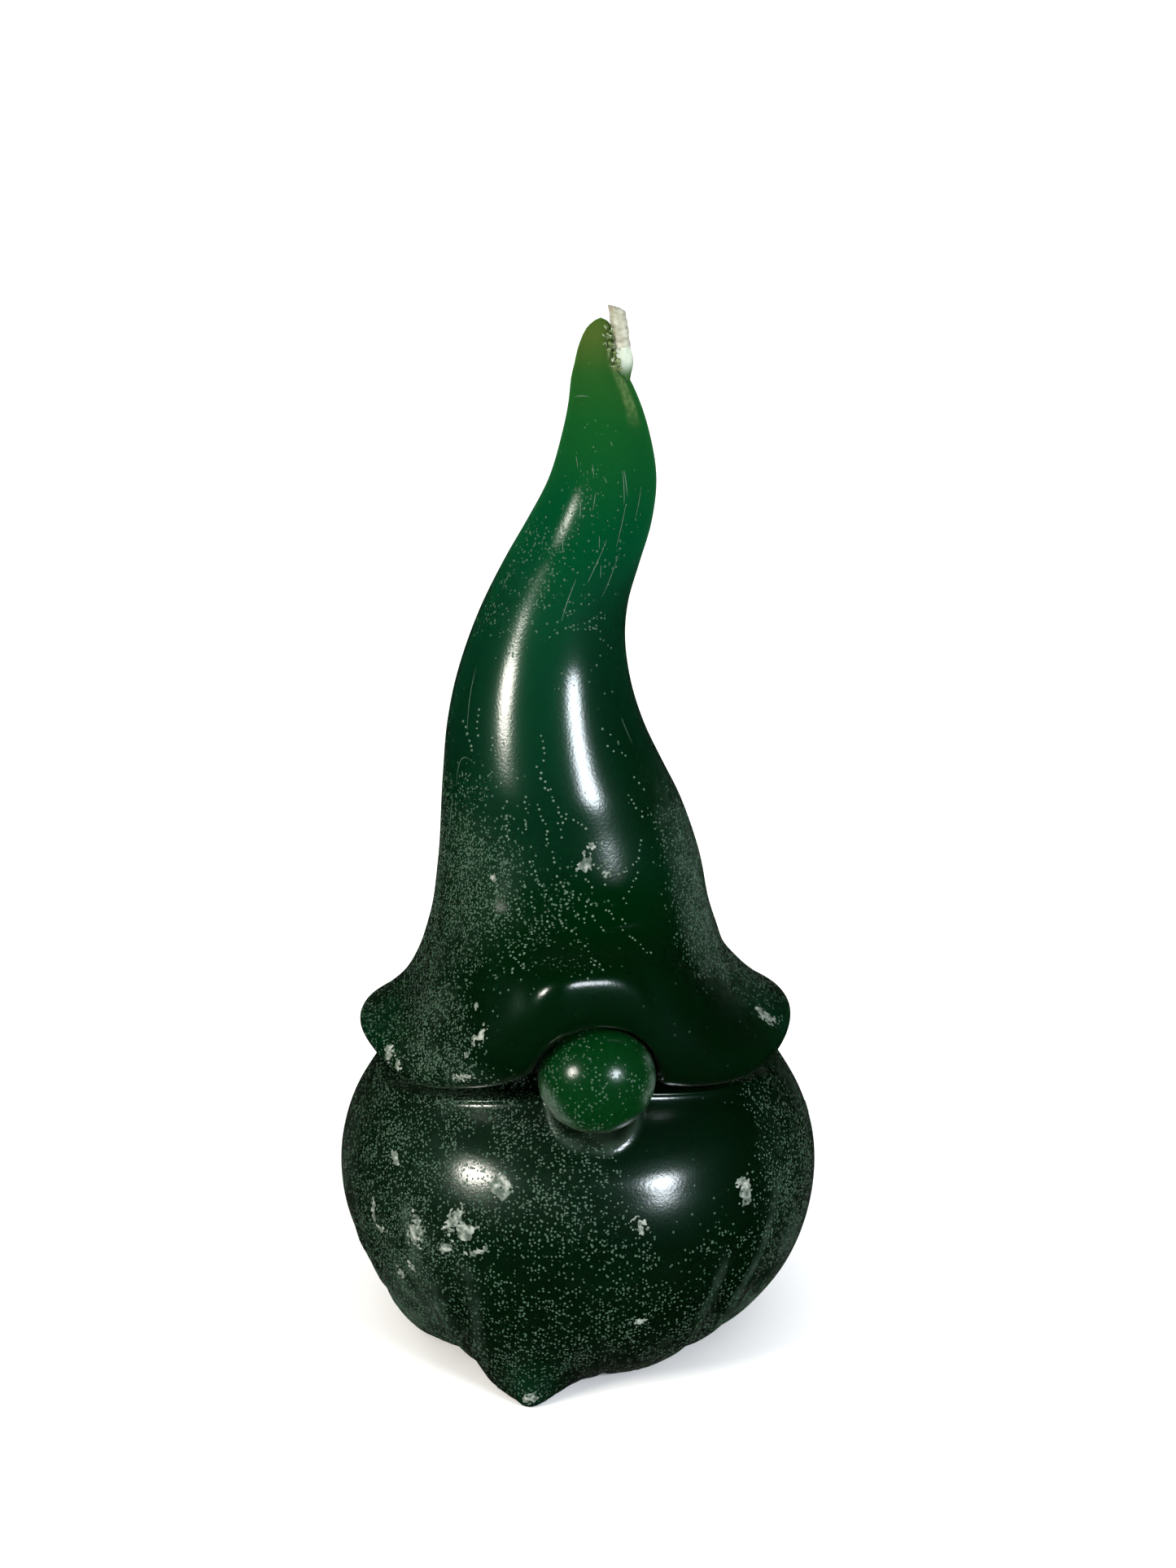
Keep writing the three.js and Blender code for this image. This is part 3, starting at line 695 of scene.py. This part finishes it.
# Heights in metres between which the wick's wax coat turns white and the wick is singed.
COAT_WHITE, WICK_SINGED = (0.1222, 0.1242), (0.1292, 0.1304)
# Layers of bloom dots: cells per metre, seed, how much bloom it takes before they appear.
DOT_LAYERS = [(2100, 0, 0.0), (2500, 4, 0.12), (3200, 9, 0.32), (3300, 13, 0.52)]


def bloom_dots(n, amount):
    """Mask of the crust of tiny pale dots: more of them where there is more bloom."""
    uneven = n.remap(n.noise(230, 2.0, seed=2), 0.35, 0.65, -0.16, 0.16)
    density = n.math("ADD", amount, n.math("MULTIPLY", uneven, n.remap(amount, 0.0, 0.2)))
    dots = 0.0
    for scale, seed, least in DOT_LAYERS:
        distance, chance = n.cells(scale, seed)
        spare = n.math("SUBTRACT", n.math("SUBTRACT", density, least), chance)
        layer = n.math("MULTIPLY", n.remap(distance, 0.23, 0.35, 1, 0), n.remap(spare, -0.02, 0.02))
        dots = n.math("MAXIMUM", layer, dots)
    return dots


def wax_material(name, base=None, coat_roughness=COAT_ROUGHNESS):
    """Dark wax with bloom, pale haze and painted light on it; a base colour replaces the one that follows
    the thickness.
    """
    n = Nodes(name)
    uneven = n.math("MULTIPLY", n.math("SUBTRACT", n.noise(110, 2.0, seed=9), 0.5), 0.08)
    # Colour by the thinness of the wax, darker where painted shade is marked.
    colour = n.ramp(n.math("ADD", n.attribute("thin"), uneven, clamp=True), WAX_RAMP)
    if base:
        colour = n.mix(0.9, colour, base)
    bloom = n.attribute("bloom")
    dots = bloom_dots(n, bloom)
    haze = n.math("MULTIPLY", n.attribute("haze"), n.remap(n.noise(420, 4.0), 0.3, 0.7, 0.3, 1.0))
    broken = n.math("MULTIPLY", n.attribute("broken"), n.remap(n.noise(1500, 3.0), 0.4, 0.65, 0.4, 1.0))
    # Pale haze of dust, with painted sheen, highlights and reflections.
    colour = n.mix(haze, colour, HAZE_AND_PAINTED_LIGHT_COLOUR)
    colour = n.mix(n.math("MULTIPLY", dots, 0.75), colour, BLOOM_COLOUR)
    colour = n.mix(broken, colour, BREAK_COLOUR)
    rough = n.remap(n.noise(260, 3.0, seed=6), 0.3, 0.7, 0.34, 0.42)
    rough = n.math("ADD", rough, n.math("MULTIPLY", dots, 0.3), clamp=True)
    grain = n.bump(n.noise(3000, 3.0), 0.00003, 0.4)
    relief = n.bump(dots, 0.00004, 0.6, grain)
    shine = n.attribute("shine")
    between_dots = n.math("SUBTRACT", 1.0, n.math("MULTIPLY", dots, 0.85))
    n.shade({
        "Specular IOR Level": n.math("MULTIPLY", shine, SPECULAR_LEVEL),
        "Specular Tint": SPECULAR_TINT,
        "IOR": 1.45,
        "Coat Weight": n.math("MULTIPLY", n.math("MULTIPLY", shine, COAT_WEIGHT), between_dots),
        "Coat Roughness": coat_roughness,
        "Coat Normal": relief,
        "Sheen Weight": 0.02,
        "Sheen Roughness": 0.3,
        "Sheen Tint": (1.0, 0.95, 0.82, 1),
    })
    n.scatter(0.35, (0.35, 1.0, 0.45), 0.0035)
    return n.finish(colour, rough, relief)


def old_wax_material():
    """Matt pale wax of the loose dots and rubbed lines."""
    n = Nodes("old_wax_dots")
    grain = n.noise(2600, 3.0, seed=3)
    stops = [(0, (0.036, 0.074, 0.045)), (1, (0.078, 0.13, 0.086))]
    colour = n.ramp(n.remap(grain, 0.3, 0.7), stops)
    return n.finish(colour, 0.6, n.bump(grain, 0.00005, 0.6))


def flake_material():
    n = Nodes("old_wax_flakes")
    grain = n.noise(1500, 4.0, seed=3)
    stops = [(0, (0.03, 0.05, 0.035)), (0.5, (0.09, 0.115, 0.09)), (1, (0.25, 0.27, 0.235))]
    colour = n.ramp(n.remap(grain, 0.3, 0.72), stops)
    return n.finish(colour, n.remap(grain, 0.3, 0.7, 0.75, 0.5), n.bump(grain, 0.00012, 0.9))


def crumb_material():
    n = Nodes("broken_wax_crumbs")
    grain = n.noise(1100, 3.0, seed=4)
    stops = [(0.3, (0.04, 0.075, 0.018)), (0.52, (0.08, 0.11, 0.045)), (0.72, (0.2, 0.24, 0.14))]
    colour = n.ramp(grain, stops)
    n.scatter(0.8, (1.0, 1.0, 0.5), 0.0016)
    return n.finish(colour, n.remap(grain, 0.3, 0.7, 0.12, 0.25), n.bump(grain, 0.0001, 0.3))


def coat_material():
    """Clear wax that turns white towards its upper end."""
    n = Nodes("clear_wax_coat")
    grain = n.noise(900, 2.0, seed=8)
    white = n.remap(n.height(), *COAT_WHITE)
    colour = n.mix(white, (0.025, 0.075, 0.018), (0.34, 0.385, 0.315))
    n.scatter(0.4, (1.0, 1.0, 0.8), 0.0008)
    return n.finish(colour, n.remap(grain, 0.3, 0.7, 0.2, 0.35), n.bump(grain, 0.0001, 0.5))


def cotton_material():
    """Cotton with painted shade between its strands, a little singed at the cut end."""
    n = Nodes("braided_cotton")
    fibre = n.noise(1700, 4.0, (0.5, 0.5, 1.3))
    stops = [(0, (0.16, 0.158, 0.112)), (0.5, (0.25, 0.253, 0.19)), (1, (0.34, 0.344, 0.275))]
    colour = n.ramp(n.remap(fibre, 0.28, 0.72), stops)
    valley = n.attribute("valley")
    # Painted shade in the valleys between the strands.
    colour = n.mix(n.math("MULTIPLY", valley, 0.5), colour, (0.17, 0.165, 0.12))
    near_end = n.remap(n.height(), *WICK_SINGED)
    singed = n.math("MULTIPLY", near_end, n.remap(n.noise(900, 2.0), 0.4, 0.62))
    colour = n.mix(n.math("MULTIPLY", singed, 0.8), colour, (0.17, 0.14, 0.10))
    return n.finish(colour, n.remap(fibre, 0.3, 0.7, 0.8, 0.95), n.bump(fibre, 0.00008, 0.8))


# --- pieces ---
def roughen(points, angles):
    """Gives the casting soft lumps and a ragged foot; also returns the outward directions."""
    angle = np.broadcast_to(angles, points.shape[:2])
    height = points[..., 2]
    outward = np.stack([np.sin(np.radians(angle)), -np.cos(np.radians(angle)), 0 * angle], axis=-1)
    lumps = LUMP_DEPTH * wobble(points, LUMP_SIZE, 1) * smoothstep(120, 110, height)
    points = points + outward * lumps[..., None]
    near_foot = np.exp(-((height / RAGGED_HEIGHT) ** 2))
    chips = RAGGED_DEPTH * np.abs(wobble(points, RAGGED_SIZE, 2)) * near_foot
    return points - outward * chips[..., None], outward


def base_rings(foot, outward):
    """Rings from the top of the wick's bore out to the foot."""
    rings = []
    for part, rise in BASE_RINGS:
        ring = foot * part
        ring[:, :2] += outward[:, :2] * BORE_RADIUS * (1 - part)
        ring[:, 2] = rise
        rings.append(ring)
    return np.array(rings)


def body_values(angle, points):
    """How the wax looks at each point of the casting: values that its material reads."""
    height = points[:, 2]
    # Thinness of the wax, with painted shade on the sides of the hat.
    thin = np.interp(height, *zip(*THIN_BY_HEIGHT)) + zones(THIN_AND_SHADED_SPOTS, angle, height)
    bloom = np.clip(zones(BLOOM_ZONES, angle, height), 0, 1) - zones(CLEAR_ZONES, angle, height)
    shine = np.clip(1 - zones(MATT_ZONES, angle, height) - smoothstep(*SHINE_FADE, height), 0, 1)
    # Haze of dust that goes with the bloom, and dust and painted sheen from the zones.
    haze = HAZE_WITH_BLOOM * smoothstep(0.2, 1.0, bloom) + zones(HAZE_AND_SHEEN_ZONES, angle, height)
    # Pale lines of bloom and painted highlight along the locks, and a painted highlight along the socket's
    # rim.
    haze += ridge_lines(angle, height) + RIM_PAINTED_HIGHLIGHT * socket_rim(points)
    return {
        "thin": np.clip(thin, 0, 1),
        "bloom": np.clip(bloom, 0, 1),
        "haze": np.clip(haze, 0, 1),
        "shine": shine + zones([TIP_SHINE], angle, height),
        "broken": zones([PALE_STREAK], angle, height),
    }


def add_wax_body(material):
    angles, rows = column_angles(), row_positions()
    smooth_points = wax_surface(angles, rows)
    points, near_tip = break_tip(smooth_points)
    points, outward = roughen(points, angles)
    columns = len(angles)
    base = base_rings(points[0], outward[0])
    grid = np.concatenate([base, points])
    flat = grid.reshape(-1, 3)
    centres = [[0, 0, BORE_DEPTH], [HAT_RINGS[-1][1], HAT_RINGS[-1][2], flat[-columns:, 2].mean()]]
    all_points = np.concatenate([flat, centres])
    faces = grid_faces(len(grid), columns)
    faces += cap_faces(0, columns, len(flat), flip=True)
    faces += cap_faces(len(flat) - columns, columns, len(flat) + 1)
    values = body_values(np.concatenate([np.tile(angles, len(grid)), [0, 0]]), all_points)
    moved = np.linalg.norm((points - smooth_points)[..., :2], axis=-1)
    tip_broken = near_tip * smoothstep(0.08, 0.25, moved)
    values["broken"][len(base) * columns:len(flat)] += tip_broken.ravel()
    piece = add_mesh("wax_casting", all_points, faces, material, values)
    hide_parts("wax_body")


def add_nose(material):
    unit, faces = unit_ball(NOSE_RINGS, NOSE_SIDES)
    unit = unit[:, [0, 2, 1]]  # the ball's poles lie front and back
    points = NOSE_CENTRE + unit * NOSE_RADII * (1 + 0.006 * wobble(unit * 7, 6.0, 6))[:, None]
    # Pale patches of painted reflection on the nose's sides, with bloom in them.
    haze = np.zeros(len(points))
    for spot in NOSE_REFLECTION_PATCHES:
        haze += np.exp(-((np.linalg.norm(unit - spot, axis=1) / NOSE_REFLECTION_SPREAD) ** 2))
    values = {
        # The nose's wax is a little lighter towards its top.
        "thin": 0.4 + 0.08 * unit[:, 2],
        "bloom": 0.27 + 0.12 * smoothstep(0, -0.5, unit[:, 0]) + 0.5 * np.clip(haze, 0, 1),
        "haze": 1.2 * np.clip(haze, 0, 1),
        "shine": np.full(len(points), NOSE_SHINE),
        "broken": np.zeros(len(points)),
    }
    piece = add_mesh("nose_ball", points, faces, material, values)
    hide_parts("nose")


def add_wick(material):
    def radius_at(along, angle):
        spread, turned = BRAID_STRANDS * angle, BRAID_TURN * along
        twist = np.cos(spread + turned) * np.cos(spread - turned)
        return WICK_RADIUS * (0.93 + 0.06 * twist + 0.02 * np.cos(2 * angle))

    points, along = sweep(WICK_ROUTE, radius_at, WICK_SIDES, WICK_RINGS)
    middle = points[-1, :, 0].mean()
    cut_part = smoothstep(CUT_START, WICK_ROUTE[-1][2], points[..., 2])
    points[..., 2] -= cut_part * (CUT_SLOPE * (points[..., 0] - middle) + 0.3)
    points[-1, :, 2] += 0.1 * wobble(points[-1] * 3, 1.0, 7)
    rings, sides = points.shape[:2]
    inner = points[-1] * 0.5 + points[-1].mean(axis=0) * 0.5
    inner[:, 2] += 0.1 + 0.15 * wobble(inner * 3, 1.0, 8)
    flat = np.concatenate([points.reshape(-1, 3), inner, [points[0].mean(axis=0)], [inner.mean(axis=0)]])
    faces = grid_faces(rings + 1, sides)
    faces += cap_faces(0, sides, len(flat) - 2, flip=True)
    faces += cap_faces(rings * sides, sides, len(flat) - 1)
    depth = (WICK_RADIUS * 0.99 - radius_at(along[:, None], full_turn(sides)[None, :])) / 0.12
    valley = np.concatenate([np.clip(depth, 0, 1).ravel(), np.full(sides + 2, 0.3)])
    piece = add_mesh("wick_braid", flat, faces, material, {"valley": valley})
    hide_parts("wick")


def add_wick_coat(material):
    """The wax that clings to the wick where it leaves the candle."""
    def radius_at(along, angle):
        swell = COAT_SWELL * np.sin(np.clip(along / COAT_LENGTH, 0, 1) * np.pi) ** 0.7
        ripples = 0.06 * np.sin(3 * angle + along * 2) + 0.04 * np.sin(7 * angle - along)
        return WICK_RADIUS * 0.9 + swell + ripples

    sides, rings = 40, 36
    points, _along = sweep(COAT_ROUTE, radius_at, sides, rings)
    lip = smoothstep(*COAT_LIP, points[..., 2])
    points[..., 2] += lip * 0.35 * wobble(points, 0.8, 12)
    faces = grid_faces(rings, sides)
    add_mesh("wick_wax_coat", points.reshape(-1, 3), faces, material)


def add_crumbs(material):
    """Rough grains left on the broken side of the tip."""
    rng = np.random.default_rng(5)
    points, faces = [], []
    unit, ball = unit_ball(8, 14)
    for x, y, z, size in CRUMBS:
        lump = 0.75 + 0.55 * wobble(unit * 1.6 + rng.uniform(0, 40, 3), 1.0, 2)
        grain = np.array([x, y, z]) + unit * (size * lump)[:, None] * rng.uniform(0.75, 1.15, 3)
        add_shape(points, faces, grain, ball)
    add_mesh("tip_crumbs", points, faces, material)


def surface_patch(angle, height, steps):
    """Square piece of the wax surface, with points at steps either way of a place."""
    row = row_at(angle, height)
    middle = wax_surface(np.array([angle - 0.5, angle + 0.5]), np.array([row - 0.02, row + 0.02]))
    per_degree = np.linalg.norm(middle[0, 1] - middle[0, 0])
    per_row = np.linalg.norm(middle[1, 0] - middle[0, 0]) / 0.04
    patch = wax_surface(angle + steps / per_degree, row + steps / per_row)
    return patch, unit_length(np.cross(np.gradient(patch, axis=1), np.gradient(patch, axis=0)))


def flake_lift(patch, steps, half_width, half_height, tilt, hollow, seed):
    """How far each point of a flake stands out of the wax; less than 0 is hidden in it."""
    v, u = np.meshgrid(steps, steps, indexing="ij")
    c, s = math.cos(math.radians(tilt)), math.sin(math.radians(tilt))
    outward = np.hypot((u * c + v * s) / half_width, (v * c - u * s) / half_height)
    outward = np.abs(outward - hollow) * (1 + hollow)
    ragged = 0.7 * wobble(patch, 1.0, seed) + 1.1 * wobble(patch, 0.4, seed + 50)
    lift = 0.16 * (0.85 - outward + ragged * (1 - hollow * 0.7))
    return np.clip(lift, *FLAKE_LIFT) + 0.03 * wobble(patch, 0.25, seed)


def add_flakes(material):
    """Thin irregular patches that sit on the wax and sink into it where they end."""
    points, faces = [], []
    mesh = grid_faces(FLAKE_STEPS, FLAKE_STEPS, closed=False)
    for seed, (angle, height, half_width, half_height, tilt) in enumerate(FLAKES + RING_FLAKES):
        hollow = RING_HOLLOW if seed >= len(FLAKES) else 0.0
        reach = max(half_width, half_height) * 1.5
        steps = np.linspace(-reach, reach, FLAKE_STEPS)
        patch, normal = surface_patch(angle, height, steps)
        lift = flake_lift(patch, steps, half_width, half_height, tilt, hollow, seed)
        add_shape(points, faces, (patch + normal * lift[..., None]).reshape(-1, 3), mesh)
    add_mesh("wax_flakes", points, faces, material)


def surface_frame(angle, height):
    """A point on the wax and unit vectors to the right, upwards and outwards there."""
    row = row_at(angle, height)
    patch = wax_surface(np.array([angle - 0.4, angle + 0.4]), np.array([row - 0.02, row + 0.02]))
    right = unit_length(patch[:, 1].mean(axis=0) - patch[:, 0].mean(axis=0))
    up = patch[1].mean(axis=0) - patch[0].mean(axis=0)
    out = unit_length(np.cross(right, up))
    return patch.mean(axis=(0, 1)), right, np.cross(out, right), out


def add_strings(material):
    """Rows of single dots of bloom on the front of the hat."""
    rng = np.random.default_rng(21)
    sides, levels = 10, len(DOT_RINGS)
    turn = full_turn(sides)
    dome = grid_faces(levels, sides) + cap_faces((levels - 1) * sides, sides, levels * sides)
    points, faces = [], []
    for angle, height, end_angle, end_height in STRINGS:
        start = surface_frame(angle, height)[0]
        end = surface_frame(end_angle, end_height)[0]
        count = max(2, round(np.linalg.norm(end - start) / DOT_SPACING))
        for part in np.linspace(0, 1, count):
            part_angle = angle + (end_angle - angle) * part + rng.normal(0, 0.7)
            part_height = height + (end_height - height) * part + rng.normal(0, 0.1)
            middle, right, up, out = surface_frame(part_angle, part_height)
            size = DOT_RADIUS * rng.uniform(0.7, 1.15)
            spokes = [right * math.cos(t) + up * math.sin(t) for t in turn]
            dot = [middle + size * reach * s + out * lift for reach, lift in DOT_RINGS for s in spokes]
            add_shape(points, faces, dot + [middle + out * DOT_HEIGHT], dome)
    add_mesh("bloom_strings", points, faces, material)


def add_glints(material):
    """Tiny raised pale specks on the tip, painted glints."""
    rng = np.random.default_rng(31)
    points, faces = [], []
    for centre, level, wide, high, count in GLINTS:
        for _speck in range(count):
            speck_angle = centre + rng.normal(0, 0.6) * wide
            speck_height = level + rng.normal(0, 0.6) * high
            middle, right, up, out = surface_frame(speck_angle, speck_height)
            half_width, half_height = rng.uniform(0.03, 0.09), rng.uniform(0.04, 0.16)
            lean = rng.normal(0, 0.5)
            across = right * math.cos(lean) + up * math.sin(lean)
            along = up * math.cos(lean) - right * math.sin(lean)
            speck = [
                middle - across * half_width, middle - along * half_height,
                middle + across * half_width, middle + along * half_height, middle + out * GLINT_HEIGHT,
            ]
            add_shape(points, faces, speck, cap_faces(0, 4, 4))
    add_mesh("tip_glints", points, faces, material, smooth=False)


def add_scratches(material):
    """Thin pale lines rubbed into the surface."""
    points, faces = [], []
    count = 22
    strip = [[2 * i, 2 * i + 1, 2 * i + 3, 2 * i + 2] for i in range(count - 1)]
    for angle, height, end_angle, end_height, bow in SCRATCHES:
        edges = []
        for t in np.linspace(0, 1, count):
            swing = bow * 4 * t * (1 - t)
            line_angle = angle + (end_angle - angle) * t - 2 * swing
            line_height = height + (end_height - height) * t + swing
            middle, right, up, out = surface_frame(line_angle, line_height)
            run = right * (end_angle - angle) * 0.2 + up * (end_height - height)
            across = np.cross(out, unit_length(run))
            half = 0.5 * SCRATCH_WIDTH * (0.35 + 0.65 * math.sin(math.pi * t))
            level = middle + out * SCRATCH_LIFT
            edges.extend([level - across * half, level + across * half])
        add_shape(points, faces, edges, strip)
    add_mesh("rubbed_lines", points, faces, material)


# --- studio ---
CAMERA_AZIMUTH, CAMERA_ELEVATION = -5.0, 20.0
CAMERA_DISTANCE, CAMERA_TARGET, CAMERA_LENS = 0.321, Vector((0.0013, 0, 0.072)), 60.0
# Lamps: name, azimuth, elevation, power and colour.
LAMPS = [
    ("key_left", -56, 25, 6.2, (1.0, 0.95, 0.86)),
    ("key_right", 36, 23, 5.8, (0.86, 0.92, 1.0)),
]
LAMP_DISTANCE, LAMP_SIZE, LAMP_TARGET = 0.8, 0.22, Vector((0, 0, 0.07))
WORLD_STRENGTH = 1.14
FLOOR_REACH, FLOOR_COLOUR = 20.0, (0.93, 0.93, 0.92, 1)


def direction(azimuth, elevation):
    """Unit vector from the object; azimuth 0 is straight in front, positive towards +X."""
    a, e = math.radians(azimuth), math.radians(elevation)
    return Vector((math.sin(a) * math.cos(e), -math.cos(a) * math.cos(e), math.sin(e)))


def add_aimed(name, data, target, azimuth, elevation, distance):
    """Adds a camera or lamp that looks at a target from a direction."""
    toward = direction(azimuth, elevation)
    aimed = bpy.data.objects.new(name, data)
    aimed.location = target + toward * distance
    aimed.rotation_euler = toward.to_track_quat("Z", "Y").to_euler()
    bpy.context.scene.collection.objects.link(aimed)
    return aimed


def add_camera():
    data = bpy.data.cameras.new("camera")
    data.lens, data.sensor_width = CAMERA_LENS, 36.0
    data.clip_start, data.clip_end = 0.01, 50.0
    place = (CAMERA_TARGET, CAMERA_AZIMUTH, CAMERA_ELEVATION, CAMERA_DISTANCE)
    bpy.context.scene.camera = add_aimed("camera", data, *place)


def add_light(name, azimuth, elevation, power, colour):
    data = bpy.data.lights.new(name, "AREA")
    data.shape, data.size, data.energy, data.color = "DISK", LAMP_SIZE, power, colour
    add_aimed(name, data, LAMP_TARGET, azimuth, elevation, LAMP_DISTANCE)


def add_floor():
    mesh = bpy.data.meshes.new("floor")
    corners = [(x * FLOOR_REACH, y * FLOOR_REACH, 0) for x, y in ((-1, -1), (1, -1), (1, 1), (-1, 1))]
    mesh.from_pydata(corners, [], [(0, 1, 2, 3)])
    floor = bpy.data.objects.new("floor", mesh)
    bpy.context.scene.collection.objects.link(floor)
    n = Nodes("pale_floor")
    n.shade({"Specular IOR Level": 0.0})
    mesh.materials.append(n.finish(FLOOR_COLOUR, 0.8))
    floor.visible_glossy = False


def add_world():
    """Even white light that shows on matt surfaces only, so that the wax mirrors just the lamps."""
    world = bpy.data.worlds.new("studio")
    bpy.context.scene.world = world
    world.use_nodes = True
    back = world.node_tree.nodes["Background"]
    back.inputs["Color"].default_value = (1, 1, 1, 1)
    back.inputs["Strength"].default_value = WORLD_STRENGTH
    world.cycles_visibility.glossy = False


# --- build ---
wax = wax_material("green_wax")
nose_wax = wax_material("green_wax_nose", NOSE_COLOUR, NOSE_COAT_ROUGHNESS)
old_wax = old_wax_material()
cotton = cotton_material()
add_wax_body(wax)
add_nose(nose_wax)
add_wick(cotton)
add_wick_coat(coat_material())
add_crumbs(crumb_material())
add_flakes(flake_material())
add_strings(old_wax)
add_scratches(old_wax)
add_glints(old_wax)

add_floor()
add_world()
for lamp_values in LAMPS:
    add_light(*lamp_values)
add_camera()
bpy.context.scene.view_settings.view_transform = "Standard"
